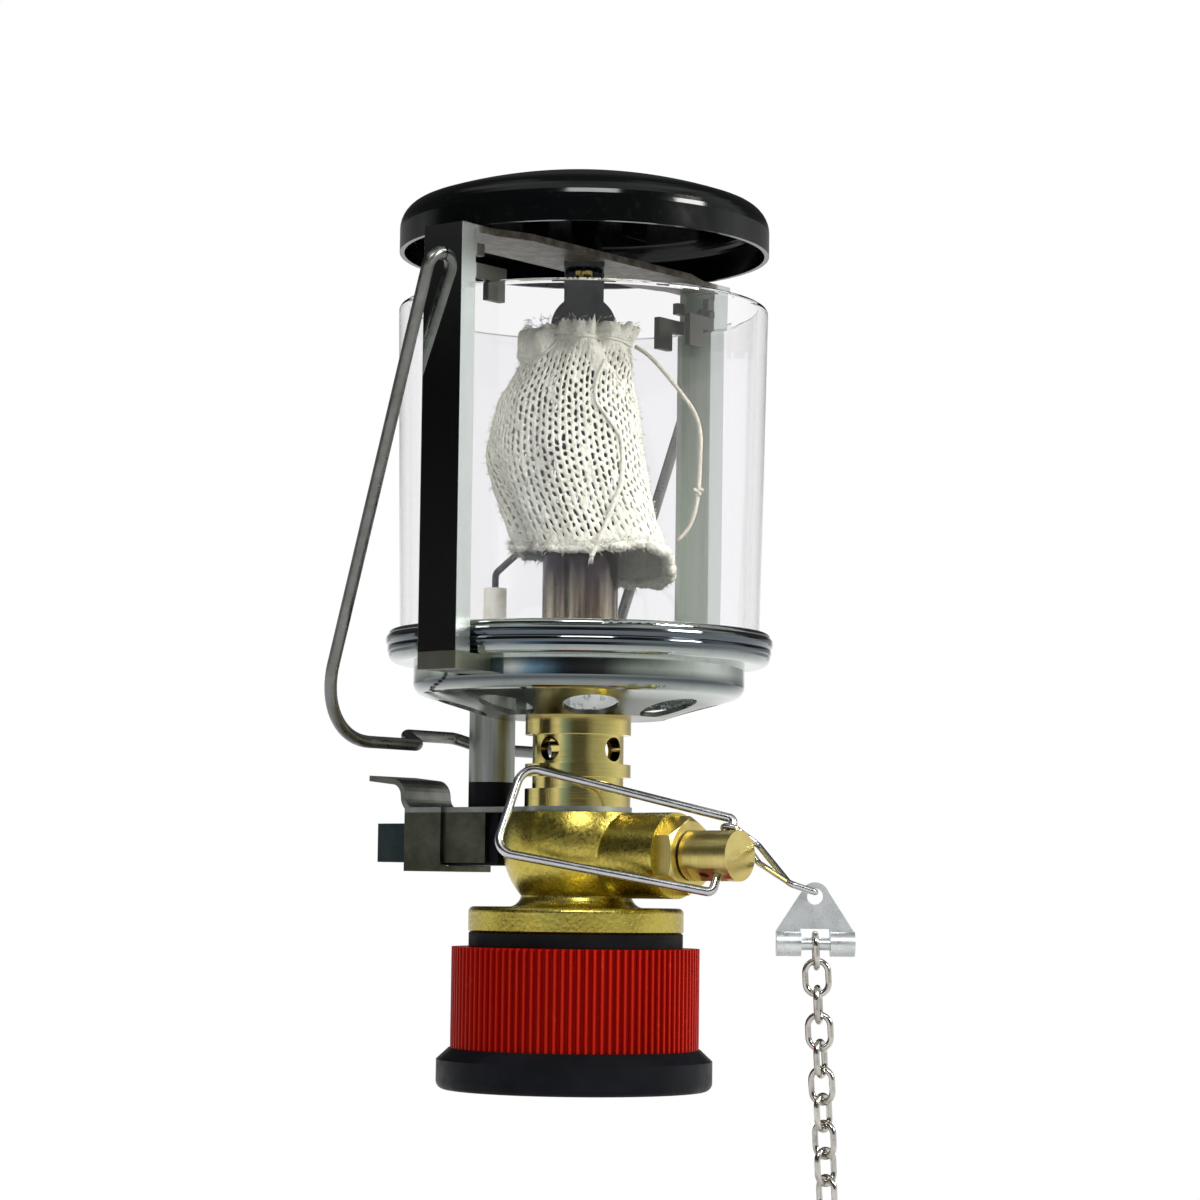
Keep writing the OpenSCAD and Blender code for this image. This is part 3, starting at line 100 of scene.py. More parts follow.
def add_tube(bm, points, radius, sides, closed=False):
    """A round tube along points, added to bm; radius is one number, or a list with one for each point."""
    n = len(points)
    radii = radius if isinstance(radius, list) else [radius] * n
    rings = []
    side = None
    for i, p in enumerate(points):
        before = points[i - 1] if i or closed else p
        after = points[(i + 1) % n] if i < n - 1 or closed else p
        along = (after - before).normalized()
        if side is None:
            side = along.orthogonal().normalized()
        side = (side - along * side.dot(along)).normalized()
        other = along.cross(side)
        rings.append([
            bm.verts.new(p + radii[i] * (side * math.cos(a) + other * math.sin(a)))
            for a in circle_angles(sides)
        ])
    for i in range(n if closed else n - 1):
        here, there = rings[i], rings[(i + 1) % n]
        if closed and i == n - 1:
            shift = min(range(sides), key=lambda k: (there[k].co - here[0].co).length)
            there = there[shift:] + there[:shift]
        for k in range(sides):
            bm.faces.new((here[k], here[(k + 1) % sides], there[(k + 1) % sides], there[k]))
    if not closed:
        bm.faces.new(rings[0][::-1])
        bm.faces.new(rings[-1])


def add_shell(bm, rows_out, rows_in, closed):
    """A sheet with two faces and closed edges, from two grids of points of one size."""
    outer, inner = ([[bm.verts.new(p) for p in row] for row in rows] for rows in (rows_out, rows_in))
    tall, across = len(outer), len(outer[0])
    steps = [(j, (j + 1) % across) for j in range(across if closed else across - 1)]

    def add_quad(corners, flip):
        bm.faces.new(corners[::-1] if flip else corners)

    for grid, flip in ((outer, False), (inner, True)):
        for low, high in zip(grid, grid[1:]):
            for j, following in steps:
                add_quad((low[j], low[following], high[following], high[j]), flip)
    for i, flip in ((0, True), (tall - 1, False)):
        for j, following in steps:
            add_quad((outer[i][j], outer[i][following], inner[i][following], inner[i][j]), flip)
    if not closed:
        for j, flip in ((0, False), (across - 1, True)):
            for i in range(tall - 1):
                add_quad((outer[i][j], outer[i + 1][j], inner[i + 1][j], inner[i][j]), flip)


def new_object(name, bm):
    mesh = bpy.data.meshes.new(name)
    bm.to_mesh(mesh)
    bm.free()
    mesh.polygons.foreach_set("use_smooth", [True] * len(mesh.polygons))
    obj = bpy.data.objects.new(name, mesh)
    scene.collection.objects.link(obj)
    return obj


# Smooth lines and shares
def four_near(places, i):
    """Four places in a row, of which i is the second, held at the ends."""
    last = len(places) - 1
    return [places[min(max(i + j, 0), last)] for j in (-1, 0, 1, 2)]


def curve_between(p, t):
    """Place at share t from the second to the third of four places on a smooth curve."""
    bend = 2 * p[0] - 5 * p[1] + 4 * p[2] - p[3]
    twist = 3 * (p[1] - p[2]) + p[3] - p[0]
    return p[1] + t / 2 * (p[2] - p[0] + t * (bend + t * twist))


def smooth_route(places, parts):
    """A smooth line through places, with parts steps between each two."""
    dense = [
        curve_between(four_near(places, i), k / parts)
        for i in range(len(places) - 1)
        for k in range(parts)
    ]
    return dense + [places[-1]]


def clamp(t):
    return min(max(t, 0), 1)


def smooth(t):
    """Share t, held between 0 and 1 and eased at both ends."""
    t = clamp(t)
    return t * t * (3 - 2 * t)


def ease(value, low, high):
    """0 below low, 1 above high, and smooth between them."""
    return smooth((value - low) / (high - low))


def between(value, rise, fall):
    """1 between two spans of values, easing in over the first and out over the second."""
    return ease(value, *rise) * (1 - ease(value, *fall))


def table_at(table, value, shape):
    """Value between two rows of a sorted table of pairs; shape turns the share of the way between them."""
    i = min(max(bisect.bisect(table, (value,)), 1), len(table) - 1)
    (x0, y0), (x1, y1) = table[i - 1], table[i]
    return y0 + (y1 - y0) * shape((value - x0) / (x1 - x0))


def near_angle(a, centre, width):
    """1 at the centre, fading over the width; a is in radians, the others are in degrees."""
    d = (math.degrees(a) - centre + 180) % 360 - 180
    return math.exp(-(d / width) ** 2)


def ring_noise(a, scale, height=0.0):
    """Smooth noise that closes on itself round the lantern."""
    return noise.noise(Vector((scale * math.cos(a), scale * math.sin(a), height)))


def in_frame(p):
    """A place in millimetres that faces the camera's side, brought into the shared frame."""
    return TURN @ Vector(p) * MM


# Tie string: its route, the same points as in the part's source, along the facing side, across it and up
STRING_ROUTE = [
    (8.9, -1.5, 126.8), (11, -2, 125.4), (13.2, -2, 123.2), (15.4, -2, 120.6), (17.4, -1.6, 118.2),
    (19, -1.2, 116), (20, -0.8, 113.6), (20.4, -0.4, 111), (20.4, 0, 108), (20.3, 0, 105),
    (20.1, 0, 102), (19.7, 0, 99.2), (19, 0.2, 96.8), (18, 0.4, 95), (16.6, 0.6, 93.6),
]
STRING_D = 0.0007
STRING_PARTS = 4
# Overhand knot: the point of the route that it sits on, its radius, depth and loops, and its yarn's radius
KNOT_POINT = 10
KNOT_R, KNOT_DEPTH, KNOT_LOOPS = 0.315, 0.254, 1.2
KNOT_YARN_R = 0.00034


def make_string():
    dense = smooth_route([in_frame(p) for p in STRING_ROUTE], STRING_PARTS)
    bm = bmesh.new()
    add_tube(bm, dense, STRING_D / 2, 8)
    string = new_object("tie_string", bm)
    bm = bmesh.new()
    centre = dense[KNOT_POINT * STRING_PARTS]
    loop = [
        centre + in_frame((
            KNOT_R * (math.sin(a) + KNOT_LOOPS * math.sin(2 * a)),
            KNOT_DEPTH * math.sin(3 * a),
            KNOT_R * (math.cos(a) - KNOT_LOOPS * math.cos(2 * a)),
        ))
        for a in circle_angles(40)
    ]
    add_tube(bm, loop, KNOT_YARN_R, 7, closed=True)
    knot = new_object("tie_knot", bm)
    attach(string, "lantern")
    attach(knot, "lantern")
    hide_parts("mantle_string")
    return string, knot


string, knot = make_string()

# Mantle: the rows of the part's source, each a share of the height, then lean, width and depth as shares
# of the mantle's width; sizes are in millimetres
MANTLE_ROWS = [
    (0.00, -0.022, 0.66, 0.58), (0.06, -0.018, 0.60, 0.54), (0.13, -0.037, 0.68, 0.58),
    (0.22, -0.066, 0.75, 0.66), (0.33, -0.092, 0.87, 0.74), (0.53, -0.099, 0.99, 0.81),
    (0.67, -0.074, 1.00, 0.80), (0.80, -0.022, 0.99, 0.76), (0.90, 0.029, 0.99, 0.73),
    (1.00, 0.074, 1.00, 0.70),
]
SHARES, LEANS, WIDTHS, DEPTHS = zip(*MANTLE_ROWS)
MANTLE_W, MANTLE_H, MANTLE_TOP = 27.2, 40.0, 130.2
CLOTH_T = 0.36
MANTLE_SEED = 7

# Knit: columns and rows of stitches, mesh rows in each, shares of the height where it starts and that it
# takes up, and the turn of its columns on the way down
STITCHES, COURSES, SUB_ROWS = 72, 25, 4
MESH_ROWS = COURSES * SUB_ROWS
KNIT_TOP, KNIT_SPAN = 0.05, 0.94
KNIT_TWIST = math.radians(11)
# Heights of a yarn and of the edges of a hole off the cloth, and of the waves along a yarn
YARN_LIFT, EDGE_LIFT, WAVE_LIFT = 0.09, -0.03, 0.05
# Random shifts: along a row as a share of a stitch, in height as a share of a mesh row, and off the cloth
SIDE_SHIFT, ROW_SHIFT, LIFT_SHIFT = 0.08, 0.25, 0.03
# Holes: mesh rows in one, share of them that is a row taller, and step of their seeds
HOLE_ROWS, TALLER_SHARE, HOLE_SEED_STEP = 2, 0.3, 1009
# Half width of a hole at the ends of the mantle and what it gains between them, as shares of a stitch;
# angle and width of the front, where holes are wider; and how unevenly wide they are
HOLE_HALF, HOLE_GAIN = 0.05, 0.05
FRONT_ANGLE, FRONT_WIDTH = -94, 34
HOLE_NOISE = 0.8
# Slant of a yarn across its course, as a share of a stitch, in odd and even columns
ODD_SLANT, EVEN_SLANT = 0.2, -0.07

# Folds of the cloth; angles are in degrees, -90 is the front, and heights are shares of the radius.
# Even folds all round: how many, height, and turn from one row to the next
FOLDS, FOLD_HEIGHT, FOLD_TURN = 9, 0.012, math.radians(25)
# Gathers under the tie: how many, phase in radians, height; they fade over a share of the mantle's height
GATHERS = [(11, 0.7, 0.05), (19, 1.3, 0.035)]
GATHER_FADE = 0.13
# Pleats that run down from the tie to the right: angle from the broad one, height, width
PLEATS = [(0, 0.13, 11), (19, -0.12, 8), (38, 0.06, 10)]
# The broad pleat's angle at the top, its turn over the whole height, and the share where the turn ends
PLEAT_START, PLEAT_RUN, PLEAT_END = -99, 190, 0.24
# One more pleat at the left: angle, height, width
LEFT_PLEAT = (-140, 0.05, 9)
# Line along which the drawn thread pulls the cloth in: angle, swing of its lower end, depth, width
THREAD_ANGLE, THREAD_SWING, THREAD_DEPTH, THREAD_WIDTH = -52, -30, 0.025, 7
# Creases by the lower edge, where the left corner turns back: angle, depth, width
LOW_CREASES = [(-157, 0.24, 13), (-127, -0.07, 14), (-68, 0.06, 10)]
# Crumples: noise scale round the mantle and down it, height
CRUMPLES = [(3, 7, 0.03), (8, 15, 0.018)]
# Height of the lower edge against its front: angle, millimetres
MOUTH = [
    (-180, 1.0), (-150, 1.2), (-125, 0.4), (-100, 0), (-75, 0.7), (-50, 1.4), (-25, 0.2), (0, -2.4),
    (30, -4.2), (60, -4.0), (90, -2.6), (135, 0), (180, 1.0),
]
# Unevenness of the lower edge, in millimetres
MOUTH_NOISE = 0.35
# Shares of the height between which these set in or fade out
PLEATS_IN, PLEATS_OUT = (-0.02, 0.03), (0.12, 0.34)
THREAD_IN, SWING_IN = (0.2, 0.35), (0.65, 1.0)
CREASES_IN, MOUTH_IN = (0.5, 0.92), (0.45, 1.0)
HOLES_IN, HOLES_OUT = (0.09, 0.17), (0.89, 0.96)
WIDE_IN, WIDE_OUT = (0.08, 0.2), (0.84, 0.95)
FRONT_IN, FRONT_OUT = (0.12, 0.3), (0.6, 0.86)


def row_value(column, step):
    """Value of a column of the mantle's rows at a step, which counts rows and may lie between two."""
    i = min(int(step), len(column) - 2)
    return curve_between(four_near(column, i), step - i)


STEP_PARTS = 40
STEPS = [
    (row_value(SHARES, i / STEP_PARTS), i / STEP_PARTS)
    for i in range(STEP_PARTS * (len(MANTLE_ROWS) - 1) + 1)
]


def pleat_angle(share):
    """Angle of the broad pleat at a share of the mantle's height."""
    return PLEAT_START + PLEAT_RUN * min(share, PLEAT_END)


def thread_angle(share):
    """Angle of the line along which the drawn thread pulls the cloth in."""
    return THREAD_ANGLE + THREAD_SWING * ease(share, *SWING_IN)


def bag_point(share, a, out=0.0):
    """Place on the mantle's outer face in its own frame, in millimetres; out moves it off the cloth."""
    step = table_at(STEPS, share, clamp)
    fold = 1 + FOLD_HEIGHT * math.cos(FOLDS * a + FOLD_TURN * step)
    gathered = math.exp(-share / GATHER_FADE)
    fold += gathered * sum(height * math.sin(count * a + phase) for count, phase, height in GATHERS)
    pleated = between(share, PLEATS_IN, PLEATS_OUT)
    for off, height, width in PLEATS:
        fold += pleated * height * near_angle(a, pleat_angle(share) + off, width)
    angle, height, width = LEFT_PLEAT
    fold += pleated * height * near_angle(a, angle, width)
    drawn = THREAD_DEPTH * ease(share, *THREAD_IN)
    fold -= drawn * near_angle(a, thread_angle(share), THREAD_WIDTH)
    low = ease(share, *CREASES_IN)
    fold -= low * sum(depth * near_angle(a, angle, width) for angle, depth, width in LOW_CREASES)
    fold += sum(height * ring_noise(a, scale, down * share) for scale, down, height in CRUMPLES)
    half_w = row_value(WIDTHS, step) * MANTLE_W / 2
    half_d = row_value(DEPTHS, step) * MANTLE_W / 2
    x = row_value(LEANS, step) * MANTLE_W + (half_w * fold + out) * math.cos(a)
    y = (half_d * fold + out) * math.sin(a)
    z = MANTLE_TOP - share * MANTLE_H
    turn = (math.degrees(a) + 180) % 360 - 180
    z += table_at(MOUTH, turn, smooth) * ease(share, *MOUTH_IN)
    z += MOUTH_NOISE * ring_noise(a, 4, 3.3) * share
    return Vector((x, y, z))


def on_bag(share, a, out=0.0):
    """A place on the mantle in the shared frame."""
    return in_frame(bag_point(share, a, out))


def knit_share(k):
    """Share of the mantle's height at mesh row k of the knit."""
    return KNIT_TOP + KNIT_SPAN * k / MESH_ROWS


def stitch_angle(j, share):
    """Angle of stitch j, which the knit's twist moves along on the way down."""
    return 2 * math.pi * j / STITCHES + KNIT_TWIST * share


def is_hole(stitch, k):
    """Whether the knit is open beside a stitch at mesh row k; each hole has a seed of its own."""
    share = knit_share(k)
    a = stitch_angle(stitch, share)
    shifted = k + SUB_ROWS // 2 * (stitch % 2)
    rng = random.Random(stitch * HOLE_SEED_STEP + shifted // SUB_ROWS)
    likely = between(share, HOLES_IN, HOLES_OUT)
    # shut along the broad pleat, on the lobe at the lower right, on most of the back, and here and there
    pleat = near_angle(a, pleat_angle(share), 15) * (1 - ease(share, 0.16, 0.26))
    lobe = near_angle(a, 35, 60) * ease(share, 0.68, 0.78)
    back = 0.7 * ease(math.sin(a), -0.1, 0.4)
    shut = max(pleat, lobe, back, 0.06)
    tall = HOLE_ROWS + (rng.random() < TALLER_SHARE)
    return shifted % SUB_ROWS < tall and rng.random() < likely * (1 - shut)


def knit_row(bm, k, rng):
    """One mesh row of the knit: a yarn and the two edges of a hole for each stitch."""
    share = knit_share(k)
    wide = HOLE_HALF + HOLE_GAIN * between(share, WIDE_IN, WIDE_OUT)
    open_front = between(share, FRONT_IN, FRONT_OUT)
    ring = []
    for j in range(STITCHES):
        odd = j % 2
        front = open_front * near_angle(stitch_angle(j, share), FRONT_ANGLE, FRONT_WIDTH)
        slack = 1 + front + HOLE_NOISE * noise.noise(Vector((j * 0.21, k * 0.07, 1.7)))
        course = (k + SUB_ROWS // 2 * odd) % SUB_ROWS
        slope = (ODD_SLANT if odd else EVEN_SLANT) * (course / (SUB_ROWS - 1) - 0.5)
        wave = WAVE_LIFT * math.cos(2 * math.pi * (k + 1) / SUB_ROWS + math.pi * odd)
        half = wide * slack
        for place, lift in ((0, YARN_LIFT + wave), (0.5 - half, EDGE_LIFT), (0.5 + half, EDGE_LIFT)):
            u = j + place + slope + rng.uniform(-SIDE_SHIFT, SIDE_SHIFT)
            rise = rng.uniform(-ROW_SHIFT, ROW_SHIFT) / MESH_ROWS
            out = lift + rng.uniform(-LIFT_SHIFT, LIFT_SHIFT)
            ring.append(bm.verts.new(on_bag(share + rise, stitch_angle(u, share), out)))
    return ring


def knit_mesh(rng):
    """The knitted bag with the thickness of its yarn: three mesh columns to a stitch, open in the holes."""
    bm = bmesh.new()
    grid = [knit_row(bm, k, rng) for k in range(MESH_ROWS + 1)]
    count = len(grid[0])
    for k in range(MESH_ROWS):
        for j in range(count):
            if j % 3 == 1 and is_hole(j // 3, k):
                continue
            following = (j + 1) % count
            bm.faces.new((grid[k][j], grid[k + 1][j], grid[k + 1][following], grid[k][following]))
    for v in [v for v in bm.verts if not v.link_faces]:
        bm.verts.remove(v)
    bag = new_object("mantle_bag", bm)
    thick = bag.modifiers.new("thick", "SOLIDIFY")
    thick.thickness = CLOTH_T * MM
    thick.offset = -1
    thick.material_offset = 1
    soft = bag.modifiers.new("soft", "SUBSURF")
    soft.levels = 1
    soft.render_levels = 1
    bag.data.materials.append(cloth_outside)
    bag.data.materials.append(cloth_inside)
    graph = bpy.context.evaluated_depsgraph_get()
    mesh = bpy.data.meshes.new_from_object(bag.evaluated_get(graph))
    bpy.data.objects.remove(bag)
    return mesh


def add_strip(bm, steps, across, thickness, place, closed):
    """A strip of cloth from place(share up, step across, inset); returns the outer face's rows."""
    outer, inner = (
        [[in_frame(place(i / steps, j, inset)) for j in range(across)] for i in range(steps + 1)]
        for inset in (0, thickness)
    )
    add_shell(bm, outer, inner, closed)
    return outer


# Ruffle: where it starts, rows, steps round it and thickness
FRILL_ROOT, FRILL_ROWS, FRILL_AROUND, FRILL_T = 0.06, 12, 190, 0.5


def frill_point(v, j, inset):
    """Place on the ruffle above the tie, which is ragged at its top and low at the left."""
    a = 2 * math.pi * j / FRILL_AROUND
    wave = 0.6 * math.sin(13 * a + 0.8) + 0.4 * math.sin(22 * a) + 0.5 * ring_noise(a, 12, 2 * v)
    flare = 0.25 + 0.7 * math.sin(2.3 * v) + wave * (0.25 + 0.75 * v)
    flare *= 1 - 0.6 * near_angle(a, -175, 32)
    rise = (2.5 + 0.9 * ring_noise(a, 4) + 0.35 * wave) * v
    rise *= 1 - 0.55 * near_angle(a, -160, 35)
    ragged = (0.7 * ring_noise(a, 17) + 0.9 * ring_noise(a, 47)) * v * v
    p = bag_point(FRILL_ROOT, a, flare - inset * (1 - 0.5 * v))
    p.z += rise + ragged + 0.2 * ring_noise(a, 9, 6 * v)
    return p


# Turned lobe: where it starts, rows, steps across and thickness; its middle and half width in degrees
EAR_ROOT, EAR_ROWS, EAR_ACROSS, EAR_T = 0.055, 14, 34, 0.55
EAR_MIDDLE, EAR_HALF = -158, 40


def ear_point(v, j, inset):
    """Place on the lobe of the ruffle that has turned over at the left, with its hollow to the front."""
    u = 2 * j / (EAR_ACROSS - 1) - 1
    a = math.radians(EAR_MIDDLE + EAR_HALF * u)
    full = (1 - u * u) ** 0.5
    bend = math.radians(130 - 200 * v)
    rough = noise.noise(Vector((4 * u, 4 * v, 5)))
    out = full * (1.4 + 1.8 * math.cos(bend)) - inset
    p = bag_point(EAR_ROOT, a, out + 0.6 * rough)
    p.z += full * (3.2 * math.sin(bend) - 1.0) + 0.7 * rough - 0.9 - 0.5 * inset * v
    return p


def add_ear(bm):
    rows = add_strip(bm, EAR_ROWS, EAR_ACROSS, EAR_T, ear_point, False)
    rim = rows[-1]
    add_tube(bm, rim, [(0.34 + 0.16 * noise.noise(p * 900)) * MM for p in rim], 7)


# Hem: its place, steps round it, sides of its roll, and the depth of its fuzzy skin in metres
HEM_SHARE, HEM_AROUND, HEM_SIDES, HEM_FUZZ = 0.985, 260, 12, 0.00045


def add_hem(bm):
    """The rolled, fuzzy lower edge, thickest on the lobe at the right."""
    points, radii = [], []
    for a in circle_angles(HEM_AROUND):
        rough = ring_noise(a, 9, 8)
        points.append(on_bag(HEM_SHARE, a, -0.1 + 0.3 * rough))
        radii.append((0.60 + 0.55 * near_angle(a, 5, 55) + 0.4 * rough) * MM)
    start = len(bm.verts)
    add_tube(bm, points, radii, HEM_SIDES, closed=True)
    bm.verts.ensure_lookup_table()
    for v in bm.verts[start:]:
        places = (v.co * 2300, v.co * 2300 + Vector((9, 0, 0)), v.co * 1900)
        v.co += Vector([noise.noise(p) for p in places]) * HEM_FUZZ


# Turns of the tie round the neck, as shares of the mantle's height
TIE_SHARES = (0.052, 0.062, 0.072)
# Drawn thread on the front: share of the height and angle of each place along it
THREAD_PLACES = [
    (0.17, -62), (0.26, -66), (0.35, -66), (0.42, -58), (0.49, -49), (0.56, -46), (0.64, -48),
    (0.72, -53), (0.80, -62), (0.88, -73), (0.95, -83), (0.99, -88), (1.02, -91),
]
FRAYED_ENDS = 9
# Fuzz on the lower edge, over the cloth and on the ruffle: fibres, lowest and highest share, length
FUZZ = [(900, 0.95, 1.0, 1.6), (900, 0.08, 0.95, 0.9), (420, -0.02, 0.06, 1.3)]


def add_tie(bm):
    for turn, share in enumerate(TIE_SHARES):
        ring = [on_bag(share + 0.004 * math.sin(3 * a + turn), a, 0.22) for a in circle_angles(90)]
        add_tube(bm, ring, 0.26 * MM, 6, closed=True)


def add_drawn_thread(bm, rng):
    """The thread that was drawn out on the front, which thickens downward and ends frayed."""
    route = []
    for share, degrees in THREAD_PLACES:
        below = Vector((0, 0, max(0, share - 1) * MANTLE_H * MM))
        route.append(on_bag(min(share, 1.0), math.radians(degrees), 0.30) - below)
    dense = smooth_route(route, 5)
    add_tube(bm, dense, [(0.30 + 0.16 * i / len(dense)) * MM for i in range(len(dense))], 7)
    end = dense[-1]
    for _ in range(FRAYED_ENDS):
        off = in_frame((rng.uniform(-0.6, 0.5), rng.uniform(-0.3, 0.3), -rng.uniform(0.7, 1.6)))
        middle = end + off * 0.6 + Vector((0, 0, 0.1 * MM))
        add_tube(bm, [end, middle, end + off], [0.14 * MM, 0.11 * MM, 0.04 * MM], 4)


def add_fuzz(bm, rng):
    spots = [
        (rng.uniform(low, high), rng.uniform(0, 360), reach)
        for count, low, high, reach in FUZZ
        for _ in range(count)
    ]
    for share, degrees, reach in spots:
        a = math.radians(degrees)
        root = on_bag(share, a, 0.1)
        out = (on_bag(share, a, 1.0) - on_bag(share, a)).normalized()
        down = Vector((rng.uniform(-0.5, 0.5), rng.uniform(-0.5, 0.5), rng.uniform(-1, 0.6)))
        tip = root + (out * 0.6 + down * 0.8).normalized() * reach * rng.uniform(0.4, 1.0) * MM
        middle = (root + tip) / 2 + out * 0.15 * MM
        add_tube(bm, [root, middle, tip], [0.06 * MM, 0.05 * MM, 0.02 * MM], 3)


def make_mantle():
    """The mantle as one piece: the knitted bag, its ruffle and lobe, hem, tie, drawn thread and fuzz."""
    rng = random.Random(MANTLE_SEED)
    knit = knit_mesh(rng)
    bm = bmesh.new()
    bm.from_mesh(knit)
    bpy.data.meshes.remove(knit)
    add_strip(bm, FRILL_ROWS, FRILL_AROUND, FRILL_T, frill_point, True)
    add_ear(bm)
    add_hem(bm)
    add_tie(bm)
    add_drawn_thread(bm, rng)
    add_fuzz(bm, rng)
    mantle = new_object("mantle_soft", bm)
    mantle.data.materials.append(cloth_outside)
    mantle.data.materials.append(cloth_inside)
    return mantle


# Node helpers
def is_socket(value):
    return isinstance(value, bpy.types.NodeSocket)


class Nodes:
    """Short ways to build the nodes of a material or of the world."""

    def __init__(self, tree):
        self.tree = tree

    def new(self, kind, **settings):
        node = self.tree.nodes.new(kind)
        for key, value in settings.items():
            setattr(node, key, value)
        return node

    def feed(self, node, index, value):
        if is_socket(value):
            self.tree.links.new(value, node.inputs[index])
        else:
            node.inputs[index].default_value = value

    def math(self, operation, a, b=0.0):
        node = self.new("ShaderNodeMath", operation=operation)
        self.feed(node, 0, a)
        self.feed(node, 1, b)
        return node.outputs[0]

    def plus(self, a, b):
        return self.math("ADD", a, b)

    def times(self, a, b):
        return self.math("MULTIPLY", a, b)

    def largest(self, first, *others):
        for other in others:
            first = self.math("MAXIMUM", first, other)
        return first

    def span(self, value, low, high, out_low=0.0, out_high=1.0, kind="LINEAR"):
        """value mapped from low..high to out_low..out_high, clamped."""
        node = self.new("ShaderNodeMapRange", interpolation_type=kind)
        for index, v in enumerate((value, low, high, out_low, out_high)):
            self.feed(node, index, v)
        return node.outputs[0]

    def above(self, value, limit, soft=1e-4):
        """1 where value is over limit, and 0 where it is under it."""
        return self.span(value, limit - soft, limit + soft)

    def below(self, value, limit, soft=1e-4):
        """1 where value is under limit, and 0 where it is over it."""
        return self.span(value, limit + soft, limit - soft)

    def inside(self, value, low, high, soft=1e-4):
        """1 where value lies between low and high."""
        return self.times(self.above(value, low, soft), self.below(value, high, soft))

    def dot(self, vector, way):
        node = self.new("ShaderNodeVectorMath", operation="DOT_PRODUCT")
        self.feed(node, 0, vector)
        self.feed(node, 1, way)
        return node.outputs["Value"]

    def mix(self, share, a, b):
        node = self.new("ShaderNodeMix", data_type="RGBA")
        self.feed(node, 0, share)
        self.feed(node, 6, a if is_socket(a) else (*a, 1))
        self.feed(node, 7, b if is_socket(b) else (*b, 1))
        return node.outputs[2]

    def rays(self, *kinds):
        """1 for the kinds of ray that are named."""
        path = self.new("ShaderNodeLightPath")
        return self.largest(*(path.outputs[f"Is {kind} Ray"] for kind in kinds))


class Look(Nodes):
    """A Principled material, whose textures are fixed to the piece's place in the shared frame."""

    def __init__(self, name, color, rough, metal=0.0, **values):
        self.mat = bpy.data.materials.new(name)
        self.mat.use_nodes = True
        super().__init__(self.mat.node_tree)
        self.bsdf = self.tree.nodes["Principled BSDF"]
        self.set("Base Color", (*color, 1))
        self.set("Roughness", rough)
        self.set("Metallic", metal)
        for key, value in values.items():
            self.set(key.replace("_", " "), value)
        self.at = self.new("ShaderNodeTexCoord").outputs["Object"]
        split = self.new("ShaderNodeSeparateXYZ")
        self.feed(split, 0, self.at)
        self.x, self.y, self.z = split.outputs

    def set(self, socket, value):
        self.feed(self.bsdf, socket, value)

    def stretched(self, x, y, z):
        """Texture places scaled along each axis: a small scale draws the texture out."""
        node = self.new("ShaderNodeMapping")
        self.feed(node, 0, self.at)
        node.inputs["Scale"].default_value = (x, y, z)
        return node.outputs[0]

    def round(self):
        """Distance from the lantern's axis."""
        return self.math("SQRT", self.plus(self.times(self.x, self.x), self.times(self.y, self.y)))

    def noise(self, scale, detail=3.0, rough=0.55, at=None):
        node = self.new("ShaderNodeTexNoise")
        self.feed(node, "Vector", at or self.at)
        node.inputs["Scale"].default_value = scale
        node.inputs["Detail"].default_value = detail
        node.inputs["Roughness"].default_value = rough
        return node.outputs[0]

    def bump(self, height, distance, strength=1.0):
        node = self.new("ShaderNodeBump")
        node.inputs["Strength"].default_value = strength
        node.inputs["Distance"].default_value = distance
        self.feed(node, "Height", height)
        self.set("Normal", node.outputs[0])

    def blend_shader(self, share, other):
        """Mixes another shader over this one by share."""
        both = self.new("ShaderNodeMixShader")
        self.feed(both, 0, share)
        self.feed(both, 1, self.bsdf.outputs[0])
        self.feed(both, 2, other.outputs[0])
        self.feed(self.tree.nodes["Material Output"], "Surface", both.outputs[0])


# Materials
def black_gloss():
    """Black enamel with a slight orange-peel skin and dust."""
    look = Look("black_enamel", (0.0022, 0.0028, 0.003), 0.15, Specular_IOR_Level=0.3)
    look.set("Roughness", look.span(look.noise(260, 4), 0.3, 0.75, 0.09, 0.17))
    dust = look.span(look.noise(900, 2), 0.62, 0.75, 0, 0.5)
    look.set("Base Color", look.mix(dust, (0.0022, 0.0028, 0.003), (0.012, 0.014, 0.013)))
    look.bump(look.noise(190, 2), 0.00006, 0.3)
    return look.mat


# Pan: heights where its conical bottom ends, its band is upright, its ledge lies and its rim turns in;
# the middle and radius of the band's barrel shape, and the slope of the rim
PAN_LOW, PAN_HIGH = (corner.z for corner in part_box("pan"))
BAND_LOW = PAN_LOW + 3.4 * MM
BAND_WALL = BAND_LOW + 2.8 * MM
LEDGE = PAN_LOW + 9 * MM
RIM_TOP = PAN_HIGH - 1 * MM
BARREL_MIDDLE, BARREL_R = BAND_LOW + 2.6 * MM, 0.06
RIM_LEAN = 0.12
ZONE_SOFT, ZONE_SHARE = 0.8 * MM, 0.92
STAIN_IN, STAIN_OUT = 11 * MM, 24 * MM


